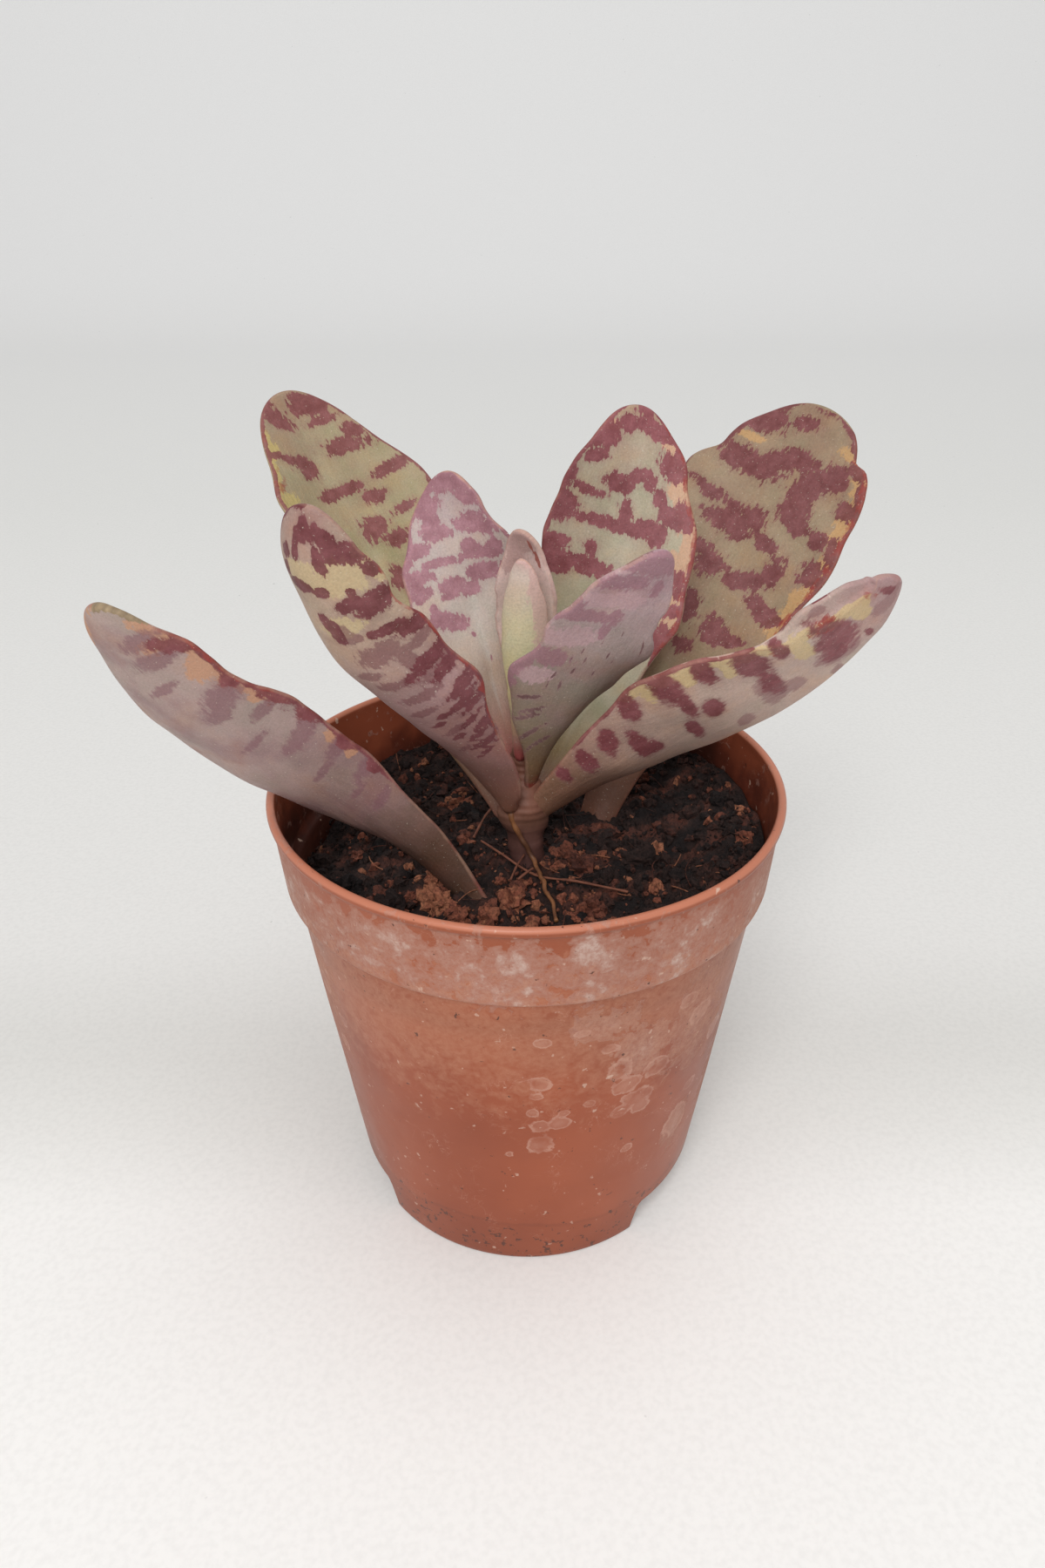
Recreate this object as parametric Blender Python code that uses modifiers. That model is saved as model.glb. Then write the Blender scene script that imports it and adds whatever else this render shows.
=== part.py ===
# Potted kalanchoe: ten fleshy spoon-shaped leaves on a short stem, in a round plastic nursery pot.
# Metres, +Z up. The origin is the middle of the pot's foot, on the surface that it stands on, and
# the pot is looked at from -Y. A leaf is a curved sheet: its middle line runs from the foot to the
# tip, and each cross line bends up round it like a gutter.

import bpy
import bmesh
import math
import random
import numpy as np
from mathutils import Matrix, Vector, noise

MM = 0.001
GAP = 0.3 * MM                 # air left between two pieces that touch

# Pot
POT_RADIUS = 42.5 * MM         # outside of the lip
POT_HEIGHT = 81.3 * MM
POT_WALL = 0.8 * MM
LIP_HEIGHT = 1.6 * MM          # rolled lip
LIP_ROUNDING = 0.4 * MM
COLLAR_TOP_RADIUS = 41.9 * MM
COLLAR_FOOT_RADIUS = 40.9 * MM
COLLAR_FOOT_Z = 66.7 * MM
BODY_TOP_RADIUS = 39.4 * MM    # the wall steps in under the collar
STEP_HEIGHT = 0.9 * MM
FOOT_RADIUS = 31.6 * MM
FLOOR_Z = 7.9 * MM             # upper side of the pot's floor; a skirt stands below it
NOTCH_HEIGHT = 6.8 * MM        # two places where the skirt is cut up for air and water
NOTCH_MIDDLES = (-7, 173)      # degrees round from +X
NOTCH_SPAN = 92
NOTCH_TAPER = 0.985
DRAIN_HOLES = 6
DRAIN_HOLE_RADIUS = 2.6 * MM
DRAIN_HOLE_CIRCLE = 20.0 * MM
POT_STEPS = 60

# Soil: its level, and how it heaps and sinks
SOIL_Z = 69.0 * MM
SOIL_ROW_SPACING = 1.0 * MM    # least height between the plug's rows where its edge is sunk
SOIL_FOOT_ROUNDING = 0.5 * MM
SOIL_RINGS = 9
SOIL_STEPS = 40
SOIL_ROUGHNESS = 0.7 * MM
SOIL_LUMP_SIZE = 6.0 * MM
HEAP_HEIGHT = 3.0 * MM         # against the wall at the back right
HEAP_ANGLE = 35
SINK_DEPTH = 6.5 * MM          # beside the wall at the left
SINK_ANGLE = 172
SINK_SPREAD = 26
WALL_ZONE = (24.0 * MM, 37.0 * MM)
HOLLOWS = ((1.4, -12.2, 3.0, 1.0), (24.0, -3.0, 8.0, 2.2))   # x, y, size and depth in millimetres
CRUMB_COUNT = 54
CRUMB_RADIUS = (1.0 * MM, 2.4 * MM)
CRUMB_SUNK = 0.35              # share of the radius
CRUMB_SEED = 11
STEM_CLEARANCE = 3.2 * MM      # no crumb lies nearer to the stem's, a leaf's or a straw's middle
LEAF_CLEARANCE = 4.6 * MM
STRAW_CLEARANCE = 0.8 * MM

# Stem, from its foot in the soil to the bud: x, y, z and radius in millimetres
STEM_LINE = (
    (0.5, -7.9, 56, 2.2), (0.4, -7.5, 62, 2.8), (0.1, -6.8, 69, 2.8), (-0.4, -5.6, 77, 2.8),
    (-0.6, -5.0, 81, 2.6), (-0.9, -4.3, 85, 2.0), (-0.9, -4.2, 88, 1.4), (-0.9, -4.2, 91, 0.6),
)
# Dry root that hangs from the stem and runs to the front of the pot: x, y, z in millimetres
ROOT_LINE = (
    (-1.6, -7.0, 79.5), (-2.4, -8.7, 78.6), (-1.7, -9.3, 76.6), (-0.2, -9.6, 73.6), (0.8, -10.4, 71.2),
    (1.9, -13.4, 70.6), (3.0, -17.6, 70.6), (4.0, -21.6, 70.5), (4.6, -25.4, 70.3),
)
ROOT_RADIUS = 0.5 * MM
STRAW_LINE = (
    (-7.6, -4.4, 70.9), (-4.4, -8.2, 71.0), (1.4, -12.2, 69.3), (8.0, -15.4, 70.2), (15.8, -18.6, 70.4),
)
STRAW_RADIUS = 0.35 * MM

# Leaves
LEAF_ROWS = 20                 # cells along a leaf
LEAF_CELLS = 8                 # cells across it
ROW_CROWDING = 1.4             # more than 1 sets the rows closer towards the tip
MARGIN_THICKNESS = 0.9 * MM
WIDTH_STATIONS = (0, 0.15, 0.30, 0.45, 0.60, 0.75, 0.90)
TIP_STARTS = 0.70              # where the outline begins to close round the tip
TIP_ROUNDNESS = 2.4
SCALLOPED = (0.28, 0.42, 0.86, 0.98)   # the margin's scallops fade in and out along these shares

# base is where a leaf leaves the stem or the soil, in millimetres. azimuth, rise, roll and cup are
# in degrees at the foot, the middle and the tip. right and left hold the half widths at the
# stations, as the leaf grows away from the stem. scallops hold for each side the place of one
# scallop and the distance to the next, as shares of the length, and depth is how far they stand
# out. thick is the midrib at the foot and the tip, and foot is how far the leaf runs on below its
# base, into the stem or the soil.
LEAVES = {
    "leaf_back_left": {
        "base": (-2.6, -3.8, 76.3), "length": 81, "foot": 1,
        "azimuth": (111, 143, 149), "rise": (33, 50, 60),
        "roll": (-24, -12, -12), "cup": (94, 61, 26),
        "right": (3, 6.6, 10.6, 13.8, 15.6, 16, 12.4),
        "left": (3, 5.6, 9.8, 12.8, 15, 16, 13),
        "scallops": {"right": (0.45, 0.25), "left": (0.5, 0.25)}, "depth": 0.5,
        "thick": (2.4, 1.5), "skin": "speckled_leaf",
    },
    "leaf_back_right": {
        "base": (2.2, -2.4, 79.2), "length": 66, "foot": 1,
        "azimuth": (52, 56, 86), "rise": (27, 69, 67),
        "roll": (-26, 10, 26), "cup": (36, 24, 33),
        "right": (2.6, 4.2, 7.4, 11.2, 12, 10.6, 9),
        "left": (2.6, 4, 6, 10.2, 13, 13.4, 10.8),
        "scallops": {"right": (0.5, 0.2), "left": (0.43, 0.22)}, "depth": 0.5,
        "thick": (2.4, 1.5), "skin": "speckled_leaf",
    },
    "leaf_far_right": {
        "base": (13, 7.7, 68.2), "length": 81, "foot": 5,
        "azimuth": (49, 36, 25), "rise": (60, 50, 60),
        "roll": (22, 22, 18), "cup": (62, 22, 2),
        "right": (3, 5.2, 10.2, 14.8, 16.8, 17.4, 17.2),
        "left": (3.4, 5, 9.8, 15.4, 18.6, 18, 15.8),
        "scallops": {"right": (0.47, 0.2), "left": (0.44, 0.12)}, "depth": 0.5,
        "thick": (3.2, 1.6), "skin": "speckled_leaf",
    },
    "leaf_right": {
        "base": (1.3, -6.7, 77.8), "length": 66, "foot": 1,
        "azimuth": (-9, -6, -13), "rise": (50, 31, 65),
        "roll": (-59, -52, -42), "cup": (83, 7, 1),
        "right": (2.4, 5.2, 9.6, 14.8, 13.6, 10.2, 13.2),
        "left": (3, 7.4, 10.4, 10.8, 10.8, 9.6, 7.6),
        "scallops": {"right": (0.37, 0.18), "left": (0.45, 0.25)}, "depth": 0.45,
        "thick": (2.4, 1.5), "skin": "speckled_leaf",
    },
    "leaf_front_left": {
        "base": (-2.7, -8.4, 79.9), "length": 62.5, "foot": 1,
        "azimuth": (225, 218, 196), "rise": (70, 50, 95),
        "roll": (1, 35, 46), "cup": (25, 55, 66),
        "right": (3.2, 6.2, 8.2, 9.4, 10.4, 10.8, 9.6),
        "left": (3, 5, 6.2, 9.4, 9.4, 8, 7.4),
        "scallops": {"right": (0.5, 0.2), "left": (0.45, 0.2)}, "depth": 0.4,
        "thick": (2.4, 1.5), "skin": "speckled_leaf",
    },
    "leaf_far_left": {
        "base": (-8.6, -17.1, 68.2), "length": 72, "foot": 5,
        "azimuth": (155, 199, 203), "rise": (51, 42, 66),
        "roll": (77, 66, 37), "cup": (73, 37, 36),
        "right": (3.2, 4, 6.2, 10.8, 13.6, 12.4, 9.8),
        "left": (2.8, 4.4, 6, 8.4, 8.8, 7.6, 7.8),
        "scallops": {"right": (0.5, 0.2), "left": (0.35, 0.25)}, "depth": 0.4,
        "thick": (3.2, 1.6), "skin": "mauve_leaf",
    },
    "leaf_inner_left": {
        "base": (-2.3, -1.8, 84.1), "length": 47.5, "foot": 1,
        "azimuth": (121, 123, 124), "rise": (63, 66, 76),
        "roll": (32, -5, -67), "cup": (21, 15, 26),
        "right": (1.6, 2, 3.2, 6.2, 8.6, 8, 6.4),
        "left": (1.6, 2.2, 6, 10.2, 10.6, 9.2, 7.6),
        "scallops": {"right": (0.55, 0.19), "left": (0.5, 0.2)}, "depth": 0.35,
        "thick": (2, 1.4), "skin": "mauve_leaf",
    },
    "leaf_inner_right": {
        "base": (0.6, -5.7, 82.5), "length": 49, "foot": 1,
        "azimuth": (-32, -44, -39), "rise": (74, 60, 57),
        "roll": (16, -29, -23), "cup": (85, 15, 6),
        "right": (2, 3.8, 7.6, 9.6, 8.6, 8.2, 6.4),
        "left": (2.2, 3.4, 6.4, 7.8, 8, 6.8, 5.8),
        "scallops": {"right": (0.45, 0.21), "left": (0.4, 0.22)}, "depth": 0.5,
        "thick": (2, 1.4), "skin": "mauve_leaf",
    },
    "leaf_heart_back": {
        "base": (-0.1, -2, 88.1), "length": 35, "foot": 1,
        "azimuth": (92, 73, 53), "rise": (73, 88, 106),
        "roll": (-6, 2, 3), "cup": (44, 33, 29),
        "right": (1.6, 3.2, 4.6, 5.6, 5.8, 5.6, 4.8),
        "left": (1.6, 3.2, 4.4, 5, 5, 4.6, 3.8),
        "scallops": {"right": (0.5, 0.25), "left": (0.5, 0.25)}, "depth": 0.15,
        "thick": (1.5, 1.2), "skin": "mauve_leaf",
    },
    "leaf_heart_front": {
        "base": (-1.2, -5.8, 87.9), "length": 31.5, "foot": 1,
        "azimuth": (254, 250, 249), "rise": (88, 93, 99),
        "roll": (11, 2, -3), "cup": (80, 61, 47),
        "right": (1.4, 2, 2.4, 2.8, 3, 3, 2.4),
        "left": (1.4, 2.2, 3.2, 4.2, 4.6, 4.4, 3.6),
        "scallops": {"right": (0.5, 0.25), "left": (0.5, 0.25)}, "depth": 0.15,
        "thick": (1.5, 1.2), "skin": "young_leaf",
    },
}


def new_collection(name, parent):
    made = bpy.data.collections.new(name)
    parent.children.link(made)
    return made


def clear_scene():
    for old in list(bpy.data.objects):
        bpy.data.objects.remove(old)


def new_material(name, colour, roughness):
    made = bpy.data.materials.new(name)
    made.use_nodes = True
    shader = made.node_tree.nodes["Principled BSDF"]
    shader.inputs["Base Color"].default_value = (*colour, 1)
    shader.inputs["Roughness"].default_value = roughness
    shader.inputs["Metallic"].default_value = 0
    made.diffuse_color = (*colour, 1)
    return made


def new_object(name, mesh, home, material=None):
    made = bpy.data.objects.new(name, mesh)
    home.objects.link(made)
    if material:
        mesh.materials.append(material)
    return made


def mesh_from(name, build):
    """A mesh made by a function that fills a bmesh."""
    mesh = bpy.data.meshes.new(name)
    work = bmesh.new()
    build(work)
    work.to_mesh(mesh)
    work.free()
    return mesh


def hide_cutter(cutter):
    cutter.display_type = "WIRE"
    cutter.hide_render = True
    return cutter


def add_boolean(target, operation, other=None, group=None):
    cut = target.modifiers.new(operation.title(), "BOOLEAN")
    cut.operation = operation
    cut.solver = "EXACT"
    if group:
        cut.operand_type = "COLLECTION"
        cut.collection = group
    else:
        cut.object = other
    return cut


def apply_modifiers(target):
    bpy.context.view_layer.update()
    seen = target.evaluated_get(bpy.context.evaluated_depsgraph_get())
    made = bpy.data.meshes.new_from_object(seen)
    target.modifiers.clear()
    target.data = made


def shade(target, angle=40):
    target.data.shade_smooth()
    target.data.set_sharp_from_angle(angle=math.radians(angle))


def add_screw(target, steps):
    turn = target.modifiers.new("Turn", "SCREW")
    turn.axis = "Z"
    turn.angle = math.tau
    turn.steps = steps
    turn.render_steps = steps
    turn.use_merge_vertices = True
    turn.merge_threshold = 0.00001
    turn.use_smooth_shade = True


def profile_mesh(name, points):
    mesh = bpy.data.meshes.new(name)
    mesh.from_pydata([(r, 0, z) for r, z in points], [(i, i + 1) for i in range(len(points) - 1)], [])
    return mesh


def body_radius(z):
    """Outside of the pot's straight wall at a height."""
    top = COLLAR_FOOT_Z - STEP_HEIGHT
    return FOOT_RADIUS + (BODY_TOP_RADIUS - FOOT_RADIUS) * z / top


def collar_radius(z):
    share = (z - COLLAR_FOOT_Z) / (POT_HEIGHT - LIP_HEIGHT - COLLAR_FOOT_Z)
    return COLLAR_FOOT_RADIUS + (COLLAR_TOP_RADIUS - COLLAR_FOOT_RADIUS) * share


def inner_wall():
    """The pot's inside from the floor to under the lip, as radius and height."""
    step_foot = COLLAR_FOOT_Z - STEP_HEIGHT
    step_top = COLLAR_FOOT_Z + STEP_HEIGHT
    fillet = 0.5 * MM
    return [
        (body_radius(FLOOR_Z) - POT_WALL - fillet, FLOOR_Z),
        (body_radius(FLOOR_Z) - POT_WALL, FLOOR_Z + fillet),
        (body_radius(step_foot) - POT_WALL, step_foot),
        (body_radius(step_foot) - POT_WALL + fillet, COLLAR_FOOT_Z),
        (collar_radius(step_top) - POT_WALL, step_top),
        (COLLAR_TOP_RADIUS - POT_WALL, POT_HEIGHT - LIP_ROUNDING),
    ]


def pot_profile():
    """Half of the pot's section: from the floor's middle up the inside and down the outside."""
    lip_foot = POT_HEIGHT - LIP_HEIGHT
    lip_inside = COLLAR_TOP_RADIUS - POT_WALL
    step_foot = COLLAR_FOOT_Z - STEP_HEIGHT
    underside = FLOOR_Z - POT_WALL
    inside = [(0, FLOOR_Z)] + inner_wall()
    lip = [
        (lip_inside + LIP_ROUNDING, POT_HEIGHT),
        (POT_RADIUS - LIP_ROUNDING, POT_HEIGHT),
        (POT_RADIUS, POT_HEIGHT - LIP_ROUNDING),
        (POT_RADIUS, lip_foot + LIP_ROUNDING),
        (COLLAR_TOP_RADIUS, lip_foot),
    ]
    outside = [
        (collar_radius(COLLAR_FOOT_Z + 0.4 * MM), COLLAR_FOOT_Z + 0.4 * MM),
        (COLLAR_FOOT_RADIUS - 0.5 * MM, COLLAR_FOOT_Z - 0.3 * MM),
        (BODY_TOP_RADIUS, step_foot),
        (FOOT_RADIUS, 0),
        (FOOT_RADIUS - POT_WALL, 0),
        (body_radius(underside) - POT_WALL, underside),
        (0, underside),
    ]
    return inside + lip + outside


def notch_cutter(number, angle, home):
    """A wedge that cuts the skirt's foot away over a wide arc, with leaning ends."""
    inside = FOOT_RADIUS * math.cos(math.radians(NOTCH_SPAN / 2)) - 1.5 * MM
    outside = FOOT_RADIUS + 4 * MM
    half = FOOT_RADIUS * math.sin(math.radians(NOTCH_SPAN / 2))
    below = 2 * MM

    def build(work):
        bmesh.ops.create_cube(work, size=2)
        for vert in work.verts:
            top = vert.co.z > 0
            vert.co.x = outside if vert.co.x > 0 else inside
            vert.co.y *= half * (NOTCH_TAPER if top else 1)
            vert.co.z = NOTCH_HEIGHT if top else -below

    cutter = new_object(f"notch_cutter_{number}", mesh_from("notch_cutter", build), home)
    cutter.rotation_euler.z = math.radians(angle)
    return hide_cutter(cutter)


def drain_cutter(number, home):
    def build(work):
        bmesh.ops.create_cone(work, cap_ends=True, segments=20, radius1=DRAIN_HOLE_RADIUS,
                              radius2=DRAIN_HOLE_RADIUS, depth=6 * POT_WALL)

    angle = math.tau * (number + 0.5) / DRAIN_HOLES
    cutter = new_object(f"drain_cutter_{number}", mesh_from("drain_cutter", build), home)
    cutter.location = (DRAIN_HOLE_CIRCLE * math.cos(angle), DRAIN_HOLE_CIRCLE * math.sin(angle),
                       FLOOR_Z - POT_WALL / 2)
    return hide_cutter(cutter)


def make_pot(home, cutters):
    plastic = new_material("terracotta_plastic", (0.42, 0.15, 0.08), 0.45)
    pot = new_object("pot", profile_mesh("pot", pot_profile()), home, plastic)
    add_screw(pot, POT_STEPS)
    group = new_collection("pot_cutters", cutters)
    for number, angle in enumerate(NOTCH_MIDDLES):
        notch_cutter(number, angle, group)
    for number in range(DRAIN_HOLES):
        drain_cutter(number, group)
    add_boolean(pot, "DIFFERENCE", group=group)
    apply_modifiers(pot)
    shade(pot)
    return pot


def smooth_share(value, low, high):
    share = min(max((value - low) / (high - low), 0), 1)
    return share * share * (3 - 2 * share)


def turn_between(angle, other):
    """Degrees from one direction to another, the short way round."""
    return abs((angle - other + 180) % 360 - 180)


def soil_height(x, y):
    """Level of the soil: rough lumps, a heap and a sunk edge beside the wall, and small hollows."""
    radius = math.hypot(x, y)
    angle = math.degrees(math.atan2(y, x))
    near_wall = smooth_share(radius, *WALL_ZONE)
    place = Vector((x, y, 0)) / SOIL_LUMP_SIZE
    lumps = noise.noise(place) + 0.5 * noise.noise(2 * place + Vector((9, 4, 2)))
    heap = max(math.cos(math.radians(turn_between(angle, HEAP_ANGLE))), 0) * near_wall
    sink = math.exp(-(turn_between(angle, SINK_ANGLE) / SINK_SPREAD) ** 2) * near_wall
    height = SOIL_Z + SOIL_ROUGHNESS * lumps + HEAP_HEIGHT * heap - SINK_DEPTH * sink
    for hollow_x, hollow_y, size, depth in HOLLOWS:
        away = math.hypot(x - hollow_x * MM, y - hollow_y * MM) / (size * MM)
        height -= depth * MM * math.exp(-away * away)
    return height


def soil_limit(z):
    """Largest radius of the soil at a height: the pot's inside a little lower, less the gap."""
    radii, heights = zip(*inner_wall())
    return float(np.interp(z - STEP_HEIGHT, heights, radii)) - GAP


def make_soil_body(home, material):
    """A turned plug that fills the pot, whose top is then raised and sunk to the soil's level."""
    bottom = FLOOR_Z + GAP
    edge = soil_limit(SOIL_Z)
    top = [(edge * i / SOIL_RINGS, SOIL_Z) for i in range(SOIL_RINGS + 1)]
    step = [COLLAR_FOOT_Z + STEP_HEIGHT, COLLAR_FOOT_Z, COLLAR_FOOT_Z - STEP_HEIGHT]
    levels = step + [SOIL_Z / 2, bottom + SOIL_FOOT_ROUNDING]
    wall = [(soil_limit(z), z) for z in levels]
    foot = [(soil_limit(bottom) - SOIL_FOOT_ROUNDING, bottom), (0, bottom)]
    soil = new_object("soil", profile_mesh("soil", top + wall + foot), home, material)
    add_screw(soil, SOIL_STEPS)
    apply_modifiers(soil)
    for vert in soil.data.vertices:
        x, y, z = vert.co
        radius = math.hypot(x, y)
        direction = Vector((x, y, 0)).normalized()
        rim = direction * edge
        if z > levels[0] + SOIL_ROW_SPACING / 2:
            level = soil_height(x, y)
            vert.co = direction * min(radius, soil_limit(level)) + Vector((0, 0, level))
        elif z > levels[3] + SOIL_ROW_SPACING / 2:
            row = min(range(len(levels)), key=lambda i: abs(levels[i] - z))
            level = min(z, soil_height(rim.x, rim.y) - (row + 1) * SOIL_ROW_SPACING)
            vert.co = direction * soil_limit(level) + Vector((0, 0, level))
    return soil


def line_distance(x, y, line):
    """Distance in plan from a point to a broken line given in millimetres."""
    best = POT_RADIUS
    for start, end in zip(line, line[1:]):
        a = Vector(start[:2]) * MM
        b = Vector(end[:2]) * MM
        p = Vector((x, y))
        share = min(max((p - a).dot(b - a) / (b - a).length_squared, 0), 1)
        best = min(best, (p - a - (b - a) * share).length)
    return best


def rooted(leaf):
    """True for a leaf that stands in the soil, not on the stem."""
    return leaf["base"][2] * MM < SOIL_Z


def clear_of_stalks(x, y, radius):
    feet = [(STEM_LINE[2][:2], STEM_CLEARANCE)]
    feet += [(leaf["base"][:2], LEAF_CLEARANCE) for leaf in LEAVES.values() if rooted(leaf)]
    for (foot_x, foot_y), reach in feet:
        if math.hypot(x - foot_x * MM, y - foot_y * MM) < reach + radius:
            return False
    nearest = min(line_distance(x, y, ROOT_LINE[4:]), line_distance(x, y, STRAW_LINE))
    return nearest > radius + STRAW_CLEARANCE


def make_crumbs(home):
    """Angular crumbs spread over the soil on a sunflower spiral, each turned and squashed."""
    draw = random.Random(CRUMB_SEED)
    reach = soil_limit(SOIL_Z) - 2 * CRUMB_RADIUS[1]
    for number in range(CRUMB_COUNT):
        away = reach * math.sqrt((number + 0.5) / CRUMB_COUNT)
        angle = number * math.pi * (3 - math.sqrt(5)) + draw.uniform(-0.2, 0.2)
        radius = draw.uniform(*CRUMB_RADIUS)
        spindle = Vector([draw.gauss(0, 1) for _ in range(3)])
        turned = Matrix.Rotation(draw.uniform(0, math.tau), 4, spindle)
        squash = Matrix.Diagonal([draw.uniform(0.75, 1.15) for _ in range(3)] + [1])
        x, y = away * math.cos(angle), away * math.sin(angle)
        if not clear_of_stalks(x, y, radius):
            continue

        def build(work):
            bmesh.ops.create_icosphere(work, subdivisions=1, radius=radius, matrix=turned @ squash)

        crumb = new_object(f"crumb_{number}", mesh_from("crumb", build), home)
        crumb.location = (x, y, soil_height(x, y) + radius * (0.5 - CRUMB_SUNK))


def make_soil(home, cutters):
    """Soil with its crumbs fused on, and plain holes for the stem and the two rooted leaves."""
    earth = new_material("potting_soil", (0.035, 0.022, 0.016), 0.95)
    soil = make_soil_body(home, earth)
    crumbs = new_collection("crumbs", cutters)
    make_crumbs(crumbs)
    add_boolean(soil, "UNION", group=crumbs)
    apply_modifiers(soil)
    for crumb in list(crumbs.objects):
        bpy.data.objects.remove(crumb)
    holes = new_collection("soil_cutters", cutters)
    hide_cutter(make_tube("stem_hole", STEM_LINE, GAP, holes))
    for name, leaf in LEAVES.items():
        if rooted(leaf):
            hide_cutter(make_leaf_solid(f"{name}_hole", leaf, holes, grow=GAP))
    add_boolean(soil, "DIFFERENCE", group=holes)
    apply_modifiers(soil)
    soil.data.shade_flat()
    return soil


def make_tube(name, line, grow, home, radius=None, material=None):
    """A round tube through points given in millimetres, as a closed mesh."""
    curve = bpy.data.curves.new(name, "CURVE")
    curve.dimensions = "3D"
    curve.bevel_depth = 1.0
    curve.bevel_resolution = 3 if radius is None else 2
    curve.use_fill_caps = True
    spline = curve.splines.new("POLY")
    spline.points.add(len(line) - 1)
    for point, place in zip(spline.points, line):
        point.co = (*[value * MM for value in place[:3]], 1)
        point.radius = (place[3] * MM if radius is None else radius) + grow
    draft = new_object(name, curve, home)
    bpy.context.view_layer.update()
    seen = draft.evaluated_get(bpy.context.evaluated_depsgraph_get())
    mesh = bpy.data.meshes.new_from_object(seen)
    bpy.data.objects.remove(draft)
    work = bmesh.new()
    work.from_mesh(mesh)
    bmesh.ops.remove_doubles(work, verts=work.verts, dist=0.000001)
    bmesh.ops.recalc_face_normals(work, faces=work.faces)
    work.to_mesh(mesh)
    work.free()
    mesh.name = name
    return new_object(name, mesh, home, material)


def make_stem(home, cutters):
    """The stem, with the dry root that grows from it fused on."""
    bark = new_material("stem_skin", (0.36, 0.2, 0.17), 0.6)
    stem = make_tube("stem", STEM_LINE, 0, home, material=bark)
    root = make_tube("root", ROOT_LINE, 0, cutters, radius=ROOT_RADIUS)
    add_boolean(stem, "UNION", other=root)
    apply_modifiers(stem)
    bpy.data.objects.remove(root)
    shade(stem)
    return stem


def make_straw(home):
    straw = new_material("dry_straw", (0.45, 0.26, 0.13), 0.7)
    made = make_tube("straw", STRAW_LINE, 0, home, radius=STRAW_RADIUS, material=straw)
    shade(made)
    return made


def bend(values, v):
    """The curve through three values, at the foot, the middle and the tip of a leaf."""
    foot, middle, tip = values
    return foot + (4 * middle - 3 * foot - tip) * v + 2 * (foot - 2 * middle + tip) * v * v


def half_width(leaf, side, v):
    """Half width along a leaf: a smooth curve through the stations, scalloped, with a round tip."""
    widths = leaf[side]
    last = len(widths)
    values = np.array([*widths, widths[-1] + 0.4 * (widths[-1] - widths[-2])])
    places = np.array([*WIDTH_STATIONS, WIDTH_STATIONS[-1] + 0.15])
    slopes = np.gradient(values, places)
    slopes[0] *= 0.5
    cell = np.clip(np.searchsorted(places, v, side="right") - 1, 0, last - 1)
    length = places[cell + 1] - places[cell]
    t = (v - places[cell]) / length
    rise = 3 * t ** 2 - 2 * t ** 3
    width = (1 - rise) * values[cell] + rise * values[cell + 1]
    width += (t ** 3 - 2 * t ** 2 + t) * length * slopes[cell]
    width += (t ** 3 - t ** 2) * length * slopes[cell + 1]
    place, spacing = leaf["scallops"][side]
    fade = np.interp(v, SCALLOPED, (0, 1, 1, 0))
    width += leaf["depth"] * fade * np.cos(math.tau * (v - place) / spacing)
    closing = np.clip((v - TIP_STARTS) / (1 - TIP_STARTS), 0, 1)
    return width * MM * np.sqrt(1 - closing ** TIP_ROUNDNESS)


def leaf_points(leaf, u, v, grow=0):
    """Places of a leaf's middle sheet: u runs from -1, right, to 1, left, and v from foot to tip.

    The middle line follows azimuth and rise step by step. Across it the sheet is an arc that opens
    towards the upper face, and it is rolled about the middle line. Below the base it runs on straight.
    """
    steps = np.linspace(0, 1, 61)
    azimuth = np.radians(bend(leaf["azimuth"], steps))
    rise = np.radians(bend(leaf["rise"], steps))
    heading = np.stack([np.cos(rise) * np.cos(azimuth), np.cos(rise) * np.sin(azimuth), np.sin(rise)], -1)
    length = leaf["length"] * MM
    walked = np.cumsum((heading[1:] + heading[:-1]) / 2, axis=0) * length / (len(steps) - 1)
    line = np.concatenate([np.zeros((1, 3)), walked])
    below = np.minimum(v, 0) * length
    v = np.clip(v, 0, 1)

    def along(values):
        return np.stack([np.interp(v, steps, values[:, axis]) for axis in range(3)], -1)

    middle = along(line) + below[:, None] * heading[0]
    forward = along(heading)
    forward /= np.linalg.norm(forward, axis=-1, keepdims=True)
    turned = np.interp(v, steps, azimuth)
    side = np.stack([-np.sin(turned), np.cos(turned), 0 * turned], -1)
    up = np.cross(forward, side)
    roll = np.radians(bend(leaf["roll"], v))[:, None]
    side, up = side * np.cos(roll) + up * np.sin(roll), up * np.cos(roll) - side * np.sin(roll)
    half = np.where(u < 0, half_width(leaf, "right", v), half_width(leaf, "left", v)) + grow
    widest = (max(leaf["right"]) + max(leaf["left"])) / 2 * MM
    curl = np.maximum(np.radians(bend(leaf["cup"], v)), 0.001) / widest
    across = curl * half * np.abs(u)
    sideways = np.sin(across) / curl * np.sign(u)
    upwards = (1 - np.cos(across)) / curl
    return middle + side * sideways[:, None] + up * upwards[:, None]


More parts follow.
